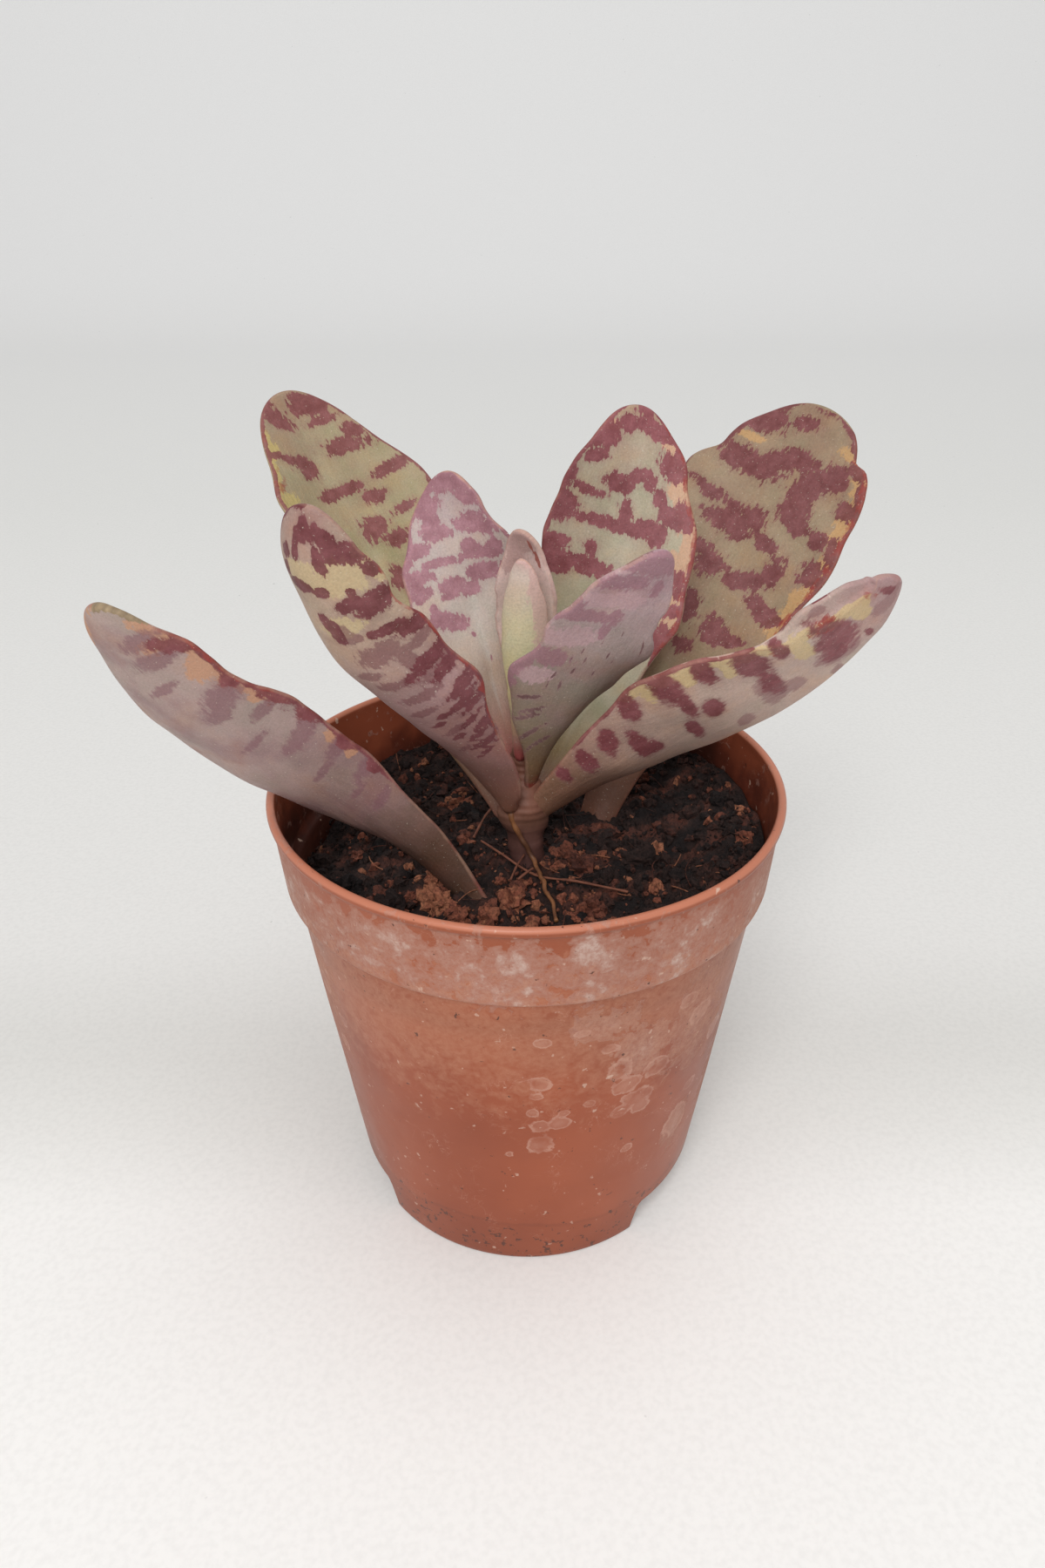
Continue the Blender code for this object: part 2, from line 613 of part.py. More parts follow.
def make_leaf_solid(name, leaf, home, material=None, grow=0):
    """A grid laid on the leaf's sheet and thickened, thickest along the midrib."""
    foot_share = (leaf["foot"] * MM + 4 * grow) / (leaf["length"] * MM)
    midrib_foot, midrib_tip = [value * MM + 2 * grow for value in leaf["thick"]]
    margin = MARGIN_THICKNESS + 2 * grow

    def build(work):
        bmesh.ops.create_grid(work, x_segments=LEAF_CELLS, y_segments=LEAF_ROWS, size=1)
        places = np.array([vert.co for vert in work.verts])
        u = places[:, 0]
        v = (1 + foot_share) * (1 - (1 - (places[:, 1] + 1) / 2) ** ROW_CROWDING) - foot_share
        points = leaf_points(leaf, u, v, grow)
        midrib = midrib_foot + (midrib_tip - midrib_foot) * np.clip(v, 0, 1)
        thickness = margin + (midrib - margin) * (1 - u * u)
        weights = work.verts.layers.deform.verify()
        for vert, point, thick in zip(work.verts, points, thickness):
            vert.co = point
            vert[weights][0] = float(thick / midrib_foot)
        bmesh.ops.triangulate(work, faces=work.faces)
        bmesh.ops.remove_doubles(work, verts=work.verts, dist=0.00005)

    made = new_object(name, mesh_from(name, build), home, material)
    made.vertex_groups.new(name="thickness")
    made.location = Vector(leaf["base"]) * MM
    shell = made.modifiers.new("Flesh", "SOLIDIFY")
    shell.thickness = midrib_foot
    shell.offset = 0
    shell.vertex_group = "thickness"
    apply_modifiers(made)
    return made


def make_leaves(home, cutters):
    skins = {
        "speckled_leaf": new_material("speckled_leaf", (0.36, 0.3, 0.2), 0.5),
        "mauve_leaf": new_material("mauve_leaf", (0.45, 0.28, 0.3), 0.5),
        "young_leaf": new_material("young_leaf", (0.5, 0.46, 0.2), 0.5),
    }
    group = new_collection("stem_cutters", cutters)
    hide_cutter(make_tube("stem_space", STEM_LINE, GAP, group))
    hide_cutter(make_tube("root_space", ROOT_LINE, GAP, group, radius=ROOT_RADIUS))
    for name, leaf in LEAVES.items():
        made = make_leaf_solid(name, leaf, home, skins[leaf["skin"]])
        if not rooted(leaf):
            add_boolean(made, "DIFFERENCE", group=group)
            apply_modifiers(made)
        shade(made, 50)


def main():
    clear_scene()
    scene = bpy.context.scene.collection
    plant = new_collection("potted_kalanchoe", scene)
    cutters = new_collection("cutters", scene)
    make_pot(plant, cutters)
    make_soil(plant, cutters)
    make_stem(plant, cutters)
    make_straw(plant)
    make_leaves(plant, cutters)


main()
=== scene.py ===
# Looks of the potted kalanchoe: finer leaves, pot, soil, stem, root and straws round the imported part.
# Metres, +Z up; the origin is the middle of the pot's foot, and the camera looks from -Y.

import math
import bpy
import numpy as np
from mathutils import Matrix, Vector
from mathutils.geometry import delaunay_2d_cdt


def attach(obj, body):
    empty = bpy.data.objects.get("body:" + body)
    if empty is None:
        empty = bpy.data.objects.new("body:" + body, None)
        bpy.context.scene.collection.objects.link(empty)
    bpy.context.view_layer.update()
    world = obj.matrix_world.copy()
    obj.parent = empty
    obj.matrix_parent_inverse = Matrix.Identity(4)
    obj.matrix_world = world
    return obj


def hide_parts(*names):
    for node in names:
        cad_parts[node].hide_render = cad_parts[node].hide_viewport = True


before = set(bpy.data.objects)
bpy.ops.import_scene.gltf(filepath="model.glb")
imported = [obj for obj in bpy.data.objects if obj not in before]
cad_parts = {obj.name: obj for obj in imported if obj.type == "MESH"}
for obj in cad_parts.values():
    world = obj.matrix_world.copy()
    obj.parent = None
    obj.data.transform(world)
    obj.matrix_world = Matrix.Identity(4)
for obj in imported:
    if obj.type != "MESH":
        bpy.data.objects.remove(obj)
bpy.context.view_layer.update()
mm = 0.001


# Small tools

def linear(red, green, blue):
    # a colour given as 0 to 255 on the screen, as the linear values that a shader takes
    screen = np.array([red, green, blue]) / 255
    return (*np.where(screen <= 0.04045, screen / 12.92, ((screen + 0.055) / 1.055) ** 2.4), 1)


def smoothStep(value, low, high):
    # 0 below low, 1 above high, and 3t^2 - 2t^3 between them
    t = np.clip((value - low) / (high - low), 0, 1)
    return t * t * (3 - 2 * t)


def turnBetween(angle, other):
    # degrees from one direction to another the short way round, 0 to 180
    return np.abs((angle - other + 180) % 360 - 180)


def polar(radius, angle):
    # x and y from a radius and an angle in radians
    return np.stack([radius * np.cos(angle), radius * np.sin(angle)], -1)


def waveNoise(places, size, seed, octaves):
    # smooth noise of about -1 to 1: a sum of sines along random directions, halved at each octave
    source = np.random.default_rng(seed)
    total = np.zeros(places.shape[:-1])
    for octave in range(octaves):
        for _ in range(6):
            direction = source.normal(size=places.shape[-1])
            direction *= math.tau * 2 ** octave / (size * np.linalg.norm(direction))
            total += np.sin(places @ direction + source.uniform(0, math.tau)) * 0.5 ** octave / 3
    return total


def gridFaces(rows, columns, closed=True):
    # quads between neighbouring rows of a grid whose columns close to a ring
    across = columns if closed else columns - 1
    row, column = np.meshgrid(np.arange(rows - 1), np.arange(across), indexing="ij")
    following = (column + 1) % columns
    return np.stack([row * columns + column, row * columns + following,
                     (row + 1) * columns + following, (row + 1) * columns + column], -1).reshape(-1, 4)


def fanFaces(ring, middle, outwards):
    # triangles from a ring of vertices to one in the middle
    following = np.roll(ring, -1)
    order = [ring, following] if outwards else [following, ring]
    return np.stack([*order, np.full(len(ring), middle)], -1)


def newPiece(name, points, faces, node, slot, material, attributes=None):
    # faces is a list of index arrays, each with its own number of corners. A piece without a node replaces
    # none and lies on the part, and one without a slot, the floor, isn't of the part.
    mesh = bpy.data.meshes.new(name)
    corners = np.concatenate([group.ravel() for group in faces]).astype(np.int32)
    counts = np.concatenate([np.full(len(group), group.shape[1]) for group in faces])
    mesh.vertices.add(len(points))
    mesh.vertices.foreach_set("co", np.asarray(points, dtype=np.float32).ravel())
    mesh.loops.add(len(corners))
    mesh.loops.foreach_set("vertex_index", corners)
    mesh.polygons.add(len(counts))
    mesh.polygons.foreach_set("loop_start", np.concatenate([[0], np.cumsum(counts)[:-1]]).astype(np.int32))
    mesh.polygons.foreach_set("loop_total", counts.astype(np.int32))
    for label, values in (attributes or {}).items():
        kind = "FLOAT" if values.ndim == 1 else "FLOAT_VECTOR"
        layer = mesh.attributes.new(label, kind, "POINT")
        layer.data.foreach_set("value" if kind == "FLOAT" else "vector", values.astype(np.float32).ravel())
    mesh.update(calc_edges=True)
    mesh.validate()
    mesh.shade_smooth()
    mesh.materials.append(material)
    made = bpy.data.objects.new(name, mesh)
    bpy.context.scene.collection.objects.link(made)
    if node:
        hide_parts(node)
    if slot:
        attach(made, "root")
    return made


class Shader:
    # a material's node tree, with short calls for the nodes that the patterns need. The patterns lie in the
    # object's metres, or in the vector attribute that place names. Colours are given as seen, 0 to 255.

    def __init__(self, name, roughness, specular, place=None):
        self.material = bpy.data.materials.new(name)
        self.material.use_nodes = True
        self.tree = self.material.node_tree
        self.main = self.tree.nodes["Principled BSDF"]
        self.main.inputs["Roughness"].default_value = roughness
        self.main.inputs["Specular IOR Level"].default_value = specular
        if place:
            self.place = self.node("ShaderNodeAttribute", attribute_name=place).outputs["Vector"]
        else:
            self.place = self.node("ShaderNodeTexCoord").outputs["Object"]

    def node(self, kind, inputs=None, **settings):
        made = self.tree.nodes.new(kind)
        for label, value in settings.items():
            setattr(made, label, value)
        for label, value in (inputs or {}).items():
            self.put(made.inputs[label], value)
        return made

    def put(self, socket, value):
        if isinstance(value, bpy.types.NodeSocket):
            self.tree.links.new(value, socket)
        else:
            socket.default_value = value

    def attribute(self, name):
        return self.node("ShaderNodeAttribute", attribute_name=name).outputs["Fac"]

    def axis(self, letter):
        return self.node("ShaderNodeSeparateXYZ", {"Vector": self.place}).outputs[letter]

    def math(self, operation, *values):
        made = self.node("ShaderNodeMath", operation=operation)
        for socket, value in zip(made.inputs, values):
            self.put(socket, value)
        return made.outputs[0]

    def plus(self, first, second):
        return self.math("ADD", first, second)

    def times(self, first, second):
        return self.math("MULTIPLY", first, second)

    def scaled(self, value, factor, offset):
        # value * factor + offset
        return self.math("MULTIPLY_ADD", value, factor, offset)

    def noise(self, scale, detail, roughness=0.55, stretch=None, distortion=0.0):
        place = self.place
        if stretch:
            place = self.node("ShaderNodeMapping", {"Vector": place, "Scale": stretch}).outputs[0]
        made = self.node("ShaderNodeTexNoise", {"Vector": place, "Scale": scale, "Detail": detail,
                                                "Roughness": roughness, "Distortion": distortion})
        return made.outputs["Fac"]

    def ramp(self, value, *stops, smooth=False):
        # stops are (place, number) or (place, colour)
        made = self.node("ShaderNodeValToRGB", {"Fac": value})
        made.color_ramp.interpolation = "EASE" if smooth else "LINEAR"
        elements = made.color_ramp.elements
        while len(elements) < len(stops):
            elements.new(0.5)
        for element, (place, shown) in zip(elements, stops):
            element.position = place
            element.color = linear(*shown) if isinstance(shown, tuple) else (shown, shown, shown, 1)
        return made.outputs["Color"]

    def mix(self, share, first, second, blend="MIX"):
        made = self.node("ShaderNodeMix", data_type="RGBA", blend_type=blend)
        for label, value in (("Factor_Float", share), ("A_Color", first), ("B_Color", second)):
            value = linear(*value) if isinstance(value, tuple) else value
            self.put(next(s for s in made.inputs if s.identifier == label), value)
        return next(s for s in made.outputs if s.identifier == "Result_Color")

    def tinted(self, colour, tint):
        return self.mix(1.0, colour, tint, "MULTIPLY")

    def bump(self, height, strength, distance, before=None):
        made = self.node("ShaderNodeBump", {"Height": height, "Strength": strength, "Distance": distance})
        if before:
            self.put(made.inputs["Normal"], before)
        return made.outputs[0]

    def finish(self, colour, normal=None, roughness=None):
        self.put(self.main.inputs["Base Color"], colour)
        if normal:
            self.put(self.main.inputs["Normal"], normal)
        if roughness:
            self.put(self.main.inputs["Roughness"], roughness)
        return self.material


# Leaves: the same construction as in the part's source, with its values. A leaf is a curved sheet;
# v runs from the foot, 0, to the tip, 1, and u from the right margin, -1, to the left one, 1.
# base is its foot's place, and azimuth and rise are its middle line's direction at foot, middle and tip.
# roll turns the sheet about that line, and cup is the angle through which it curls up out to the margins.
# right and left hold half widths at the stations, scallops a crest's v and the spacing for each margin, right
# first, and depth is their depth. thick is the midrib's thickness at foot and tip. foot is how far a stalk
# goes on into the soil, or 1 for a leaf on the stem, and face is the side that the camera sees.
# marks, dull, sunny and red hold dark, pale, yellow and red blotches as (u, v, half length across,
# half length along), with a lean after them where they aren't level. edging, dullEdging, sunnyEdging,
# redEdging and scar hold stripes along the margin as (side, lowest v, highest v, width), side 0 for both.
# dents are (side, v, depth of the step, bulge before it, the bulge's half length in v). fold bends the
# margin of one side back: (side, places in v, crest in u at each, depth). heel narrows the leaf's foot.
# Lengths are in millimetres, angles in degrees. What most leaves share comes first.

commonLeaf = dict(foot=1, depth=0.5, thick=(2.4, 1.5), heel=(0.4, 0.9), dents=(), fold=(0, (0, 1), (1, 1), 0),
                  marks=(), dull=(), sunny=(), red=(), edging=(), dullEdging=(), sunnyEdging=(),
                  redEdging=(), scar=())

leaves = {
    "leaf_back_left": dict(
        base=(-2.6, -3.8, 76.3), length=81, azimuth=(111, 143, 149), rise=(33, 50, 60),
        roll=(-24, -12, -12), cup=(94, 61, 26), right=(3, 6.6, 10.6, 13.8, 15.6, 16, 12.4),
        left=(3, 5.6, 9.8, 12.8, 15, 16, 13), scallops=((0.45, 0.25), (0.5, 0.25)), face="upper",
        look="olive",
        marks=((-.5, .965, .55, .035), (-.45, .92, .4, .012), (.6, .955, .42, .022, .06),
               (-.5, .855, .4, .018, .02), (-.8, .875, .18, .02), (.3, .84, .2, .022, .03),
               (.6, .865, .2, .012, .05), (.85, .88, .15, .007), (.1, .77, .18, .014),
               (-.15, .77, .2, .014), (-.75, .773, .25, .014, -.02), (-.38, .735, .15, .016),
               (-.6, .685, .14, .013), (-.15, .67, .17, .026, .02), (-.38, .635, .15, .016),
               (-.15, .56, .12, .03), (.62, .72, .25, .014, .03), (.45, .64, .2, .014, .02),
               (-.6, .55, .2, .015), (.35, .53, .15, .012), (-.35, .47, .15, .012)),
        edging=((-1, .9, 1, .9), (1, .72, 1, .5), (-1, .6, .9, .5)), sunnyEdging=((1, .74, .94, 1.3),),
        red=((.93, .83, .1, .025), (.97, .925, .08, .012)),
        sunny=((.9, .89, .15, .014), (.9, .785, .2, .014))),
    "leaf_back_right": dict(
        base=(2.2, -2.4, 79.2), length=66, azimuth=(52, 56, 86), rise=(27, 69, 67), roll=(-26, 10, 26),
        cup=(36, 24, 33), right=(2.6, 4.2, 7.4, 11.2, 12, 10.6, 9),
        left=(2.6, 4, 6, 10.2, 13, 13.4, 10.8), scallops=((0.5, 0.2), (0.43, 0.22)), face="upper",
        look="green",
        marks=((-.3, .99, .5, .012), (.75, .92, .3, .024), (.3, .955, .3, .02),
               (-.5, .945, .5, .022, .03), (.6, .79, .27, .014, .04), (.25, .815, .25, .02, .02),
               (-.1, .835, .17, .018), (-.3, .825, .15, .022), (-.75, .86, .27, .032, .02),
               (-.5, .785, .12, .02), (.85, .745, .2, .03), (.35, .72, .37, .016, .03),
               (.05, .745, .08, .025), (-.2, .71, .24, .018), (-.45, .70, .12, .025),
               (-.7, .74, .2, .022, .02), (-.85, .745, .14, .03), (.85, .66, .17, .014),
               (.95, .63, .1, .02), (.4, .605, .37, .022, .03), (.4, .65, .09, .02), (.75, .61, .17, .02),
               (.85, .585, .12, .011), (-.75, .6, .08, .02), (-.85, .53, .15, .013), (-.9, .59, .05, .03),
               (-.85, .46, .2, .03), (.75, .87, .2, .016), (.95, .83, .1, .02), (-.3, .6, .12, .014),
               (.1, .54, .14, .012), (-.5, .5, .14, .014)),
        edging=((-1, .85, 1, .6), (1, .55, 1, .6), (-1, .4, .7, .4)), redEdging=((-1, .42, .9, .7),),
        sunnyEdging=((-1, .42, .93, 2.4),),
        red=((-1, .8, .06, .1), (-1, .6, .06, .1), (-1, .95, .08, .06)),
        sunny=((-.85, .91, .2, .016), (-.75, .8, .12, .02), (-.7, .65, .12, .02), (.75, .945, .3, .01))),
    "leaf_far_right": dict(
        base=(13, 7.7, 68.2), length=81, foot=5, azimuth=(49, 36, 25), rise=(60, 50, 60),
        roll=(22, 22, 18), cup=(62, 22, 2), right=(3, 5.2, 10.2, 14.8, 16.8, 17.4, 17.2),
        left=(3.4, 5, 9.8, 15.4, 18.6, 18, 15.8), scallops=((0.47, 0.2), (0.44, 0.12)), thick=(3.2, 1.6),
        face="upper", look="drab", scar=((0, .975, 1.1, .5),),
        dents=((-1, .912, 2.0, .4, .018), (1, .862, 0, -.6, .018)),
        marks=((.75, .935, .37, .03), (.1, .955, .32, .016), (-.15, .88, .26, .02),
               (.5, .835, .52, .026, .02), (.15, .86, .22, .02), (-.35, .83, .16, .04),
               (-.45, .86, .2, .03), (-.6, .87, .16, .03), (-.9, .9, .2, .016), (-.95, .85, .08, .05),
               (-.85, .82, .12, .02), (-.75, .74, .12, .02), (-.35, .77, .19, .03), (-.5, .75, .1, .02),
               (.55, .745, .27, .016, .02), (.3, .735, .12, .015), (.2, .7, .26, .028, .02),
               (.02, .72, .16, .03), (-.25, .69, .14, .016), (.35, .62, .14, .02), (.15, .6, .16, .03),
               (-.2, .59, .2, .018), (-.35, .61, .14, .02), (-.5, .64, .12, .035), (-.65, .56, .18, .02),
               (-.8, .55, .12, .02), (-.5, .57, .12, .016), (-.85, .67, .14, .03), (-.92, .73, .08, .03),
               (-.3, .47, .2, .03), (-.5, .47, .2, .016), (-.05, .42, .14, .02), (.1, .5, .1, .03)),
        edging=((0, .92, 1, 1.3), (1, .84, 1, 1.2), (-1, .5, .86, .5), (1, .5, .8, .5)),
        redEdging=((-1, .45, .88, .9),), sunnyEdging=((-1, .5, .95, 2.6),),
        red=((-1, .86, .07, .08), (-1, .7, .07, .1), (-1, .55, .06, .08)),
        sunny=((.7, .885, .2, .008), (-.9, .8, .07, .03), (-.9, .6, .07, .04))),
    "leaf_right": dict(
        base=(1.3, -6.7, 77.8), length=66, azimuth=(-9, -6, -13), rise=(50, 31, 65), roll=(-59, -52, -42),
        cup=(83, 7, 1), right=(2.4, 5.2, 9.6, 14.8, 13.6, 10.2, 13.2),
        left=(3, 7.4, 10.4, 10.8, 10.8, 9.6, 7.6), scallops=((0.37, 0.18), (0.45, 0.25)), depth=0.45,
        face="lower", look="beige",
        fold=(-1, (.68, .8, .84, .91, .955, .985), (1, .72, .58, .47, .5, 1), 0.7),
        dents=((-1, .86, 0, 1.6, .05), (-1, .95, 0, -1.1, .045), (-1, .982, 0, -1.3, .014)),
        marks=((-.15, .83, .48, .037), (-.15, .968, .3, .01), (.25, .8, .2, .025), (-.8, .725, .22, .017),
               (-.7, .65, .32, .03), (0, .655, .3, .02), (-.8, .555, .22, .02), (-.8, .46, .22, .026),
               (-.45, .475, .2, .013), (-.15, .52, .14, .02), (-.8, .36, .22, .021),
               (-.6, .275, .27, .018), (-.15, .325, .32, .016), (.1, .35, .14, .016),
               (-.5, .205, .3, .016), (-.7, .14, .3, .012), (.2, .45, .25, .013), (.6, .87, .17, .008)),
        dull=((.3, .81, .35, .045), (.1, .65, .38, .03), (.3, .69, .2, .02), (.55, .555, .15, .016),
              (.9, .77, .2, .012), (.3, .945, .26, .035), (-.85, .85, .12, .02)),
        edging=((-1, .2, .68, .35),), sunnyEdging=((-1, .35, .95, 1.8),),
        red=((-.4, .945, .2, .01), (-.55, .83, .15, .037), (-.8, .72, .1, .02)),
        sunny=((-.22, .9, .22, .018), (-.55, .76, .3, .02), (-.8, .6, .22, .016), (-.85, .515, .14, .016),
               (-.85, .42, .17, .016))),
    "leaf_front_left": dict(
        base=(-2.7, -8.4, 79.9), length=62.5, azimuth=(225, 218, 196), rise=(70, 50, 95),
        roll=(1, 35, 46), cup=(25, 55, 66), right=(3.2, 6.2, 8.2, 9.4, 10.4, 10.8, 9.6),
        left=(3, 5, 6.2, 9.4, 9.4, 8, 7.4), scallops=((0.5, 0.2), (0.45, 0.2)), depth=0.4, face="lower",
        look="rose", heel=(0.05, 0.5),
        marks=((.85, .90, .22, .02), (.85, .85, .1, .014), (.15, .785, .1, .01),
               (.35, .94, .2, .018, -.03), (.5, .905, .2, .016), (-.1, .955, .14, .02),
               (.12, .895, .08, .022), (-.3, .93, .06, .02), (.35, .79, .14, .012),
               (.75, .775, .32, .019, .02), (.4, .815, .06, .008), (.5, .7, .2, .01),
               (.85, .67, .18, .015), (.3, .705, .1, .008), (.6, .57, .35, .014, .03),
               (.75, .53, .2, .012, .03), (.75, .47, .24, .012, .03), (.55, .43, .2, .008, .04),
               (.75, .41, .2, .008, .04), (.6, .37, .22, .007, .05), (.75, .345, .18, .007, .05),
               (.55, .315, .25, .006, .05), (.7, .285, .2, .006, .05), (.4, .28, .2, .005, .05),
               (.5, .25, .25, .005, .05), (.2, .33, .15, .005, .04), (.05, .39, .12, .005, .04),
               (.25, .42, .12, .006, .04), (-.05, .825, .09, .009), (-.3, .835, .09, .009),
               (-.45, .845, .12, .009), (-.25, .76, .05, .015), (-.15, .73, .06, .02),
               (-.65, .87, .08, .011), (-.6, .91, .09, .011), (-.3, .91, .06, .011)),
        dull=((.2, .65, .28, .024), (.05, .71, .15, .012), (.75, .63, .25, .012, .02),
              (.42, .61, .1, .03), (.7, .55, .35, .03, .02), (.2, .5, .3, .014), (-.02, .73, .08, .012),
              (.1, .56, .25, .014), (.05, .45, .25, .01, .03), (.3, .36, .3, .01, .04),
              (-.2, .6, .2, .01), (.1, .28, .2, .008, .04)),
        edging=((1, .3, .7, .4), (-1, .9, 1, .6)), sunnyEdging=((1, .8, .92, 1.2),),
        red=((.97, .43, .08, .02), (1, .6, .05, .3)),
        sunny=((.3, .85, .5, .036), (-.3, .87, .3, .02), (0, .74, .3, .02))),
    "leaf_far_left": dict(
        base=(-8.6, -17.1, 68.2), length=72, foot=5, azimuth=(155, 199, 203), rise=(51, 42, 66),
        roll=(77, 66, 37), cup=(73, 37, 36), right=(3.2, 4, 6.2, 10.8, 13.6, 12.4, 9.8),
        left=(2.8, 4.4, 6, 8.4, 8.8, 7.6, 7.8), scallops=((0.5, 0.2), (0.35, 0.25)), depth=0.4,
        thick=(3.2, 1.6), face="lower", look="ash", scar=((1, .93, 1.1, .7),),
        marks=((.9, .865, .2, .016), (.65, .89, .14, .012, .01), (.95, .74, .13, .016),
               (.98, .63, .12, .03), (.98, .56, .12, .025), (.95, .455, .1, .012), (.9, .37, .1, .01)),
        dull=((.45, .91, .4, .014, .01), (.35, .86, .35, .014), (.6, .72, .3, .02),
              (.25, .70, .25, .012, .01), (.65, .64, .2, .01), (.6, .54, .3, .014, .01),
              (.75, .46, .2, .012), (.8, .38, .25, .012), (.3, .45, .2, .006, .01),
              (.6, .31, .25, .008, .01), (.3, .36, .2, .006, .01), (-.1, .8, .2, .008, .01),
              (.1, .6, .2, .006, .01)),
        edging=((1, .3, .9, .4),), sunnyEdging=((1, .6, .97, 1.5), (-1, .9, 1, 1.0)),
        red=((1, .75, .05, .15),),
        sunny=((.6, .89, .3, .016), (.8, .8, .25, .03), (.85, .67, .12, .013), (.85, .49, .13, .013),
               (.85, .43, .12, .012))),
    "leaf_inner_left": dict(
        base=(-2.3, -1.8, 84.1), length=47.5, azimuth=(121, 123, 124), rise=(63, 66, 76),
        roll=(32, -5, -67), cup=(21, 15, 26), right=(1.8, 2.6, 3.4, 6.2, 8.6, 8, 6.4),
        left=(1.6, 2.2, 6, 10.2, 10.6, 9.2, 7.6), scallops=((0.55, 0.19), (0.5, 0.2)), depth=0.35,
        thick=(2, 1.4), face="upper", look="lilac",
        marks=((0, .965, 1, .035), (.7, .9, .37, .03), (-.6, .915, .47, .027), (.5, .84, .17, .03),
               (.35, .81, .32, .022, .02), (-.55, .82, .52, .035, .02), (.8, .76, .22, .022),
               (.95, .73, .12, .02), (-.2, .745, .17, .03), (-.25, .725, .27, .016),
               (.35, .715, .32, .016), (-.7, .74, .14, .02), (-.6, .715, .15, .017), (.8, .68, .27, .022),
               (.85, .63, .22, .022), (-.4, .66, .27, .027), (.25, .625, .22, .027), (.4, .6, .12, .012),
               (-.05, .61, .14, .02), (.55, .53, .22, .027), (.35, .51, .17, .02), (.65, .57, .06, .02),
               (.15, .46, .03, .008), (-.1, .37, .03, .008)),
        edging=((0, .86, 1, .9), (-1, .6, .9, .5), (1, .6, .9, .5))),
    "leaf_inner_right": dict(
        base=(0.6, -5.7, 82.5), length=49, azimuth=(-32, -44, -39), rise=(74, 60, 57),
        roll=(16, -29, -23), cup=(85, 15, 6), right=(2, 3.8, 7.8, 10.2, 8.6, 8.2, 6.4),
        left=(2.2, 3.4, 6.4, 7.8, 8, 6.8, 5.8), scallops=((0.45, 0.21), (0.4, 0.22)), thick=(2, 1.4),
        face="lower", look="glaucous",
        marks=((-.35, .565, .02, .016, .2), (-.55, .605, .015, .012, .2), (.1, .73, .015, .01, .2),
               (-.15, .565, .018, .014, .2), (-.2, .515, .02, .012, .2), (.05, .545, .012, .012, .2),
               (-.25, .45, .02, .014, .2), (-.4, .49, .02, .014, .2), (.4, .66, .014, .01, .2),
               (.38, .575, .014, .01, .2), (.6, .63, .014, .02, .2), (.75, .65, .014, .03, .2),
               (.2, .6, .012, .012, .2), (.5, .72, .012, .01, .2), (-.05, .64, .015, .012, .2),
               (.3, .5, .012, .012, .2), (-.3, .535, .014, .012, .2), (-.1, .49, .014, .01, .2),
               (.15, .52, .01, .01, .2), (-.45, .44, .02, .014, .2), (.25, .69, .012, .012, .2),
               (-.25, .6, .014, .01, .2), (.45, .61, .012, .01, .2), (0, .42, .012, .01, .2),
               (-.7, .385, .16, .006, .06), (-.55, .345, .25, .005, .08), (-.7, .31, .25, .006, .08),
               (-.5, .275, .25, .005, .1), (-.7, .25, .25, .006, .1), (-.4, .22, .25, .005, .1),
               (-.7, .2, .2, .006, .1)),
        dull=((-.6, .88, .4, .03), (-.2, .89, .3, .027), (.45, .88, .17, .027), (-.5, .735, .5, .022),
              (-.1, .76, .12, .016), (-.1, .69, .08, .025), (-.7, .55, .35, .03), (0, .96, .9, .04)),
        dullEdging=((-1, .4, .58, 1.2), (-1, .7, .8, 1.2), (0, .92, 1, 1.0)),
        red=((0, 0, .9, .05),),
        sunny=((-.85, .63, .3, .03), (-.7, .47, .2, .03, .05), (-.6, .8, .35, .02), (-.1, .82, .3, .03),
               (-.45, .66, .25, .03), (-.8, .92, .15, .02))),
    "leaf_heart_back": dict(
        base=(-0.1, -2, 88.1), length=35, azimuth=(92, 73, 53), rise=(73, 88, 106), roll=(-6, 2, 3),
        cup=(44, 33, 29), right=(1.6, 3.2, 4.6, 5.6, 5.8, 5.6, 4.8), left=(1, 1.8, 2.9, 4, 4.9, 4.6, 3.8),
        scallops=((0.5, 0.25), (0.5, 0.25)), depth=0.15, thick=(1.5, 1.2), face="upper", look="blushed",
        marks=((-.72, .88, .07, .03), (-.6, .93, .07, .02)),
        dull=((0, .95, .9, .05), (.3, .86, .5, .05))),
    "leaf_heart_front": dict(
        base=(-1.2, -5.8, 87.9), length=31.5, azimuth=(254, 250, 249), rise=(88, 93, 99),
        roll=(11, 2, -3), cup=(80, 61, 47), right=(0.8, 1, 1.4, 2.4, 3, 3, 2.4),
        left=(1.4, 2.2, 3.2, 4.2, 4.6, 4.4, 3.6), scallops=((0.5, 0.25), (0.5, 0.25)), depth=0.15,
        thick=(1.5, 1.2), face="lower", look="young",
        dull=((.8, .8, .3, .2), (0, .995, .9, .015))),
}

# Colours of a leaf as seen, 0 to 255: ground runs along the leaf from the foot to the tip, mark and dull
# are its dark and pale blotches, sun the yellow spots, rim and rimPale the margin and film the whitish wax.
# filmShare, rimShare and clouding say how strong the wax, the margin and the cloudy patches are, veil how
# pale the marks near the foot are. reach widens the marks, soft and dullSoft blur the blotches' edges,
# teeth says how jagged these are, and ribWidth how wide the midrib is.

commonLook = dict(rimPale=(190, 150, 128), clouding=0.2, veil=0, reach=0, soft=0, dullSoft=0, teeth=2.1,
                  ribWidth=0.16, slot="speckled_leaf")

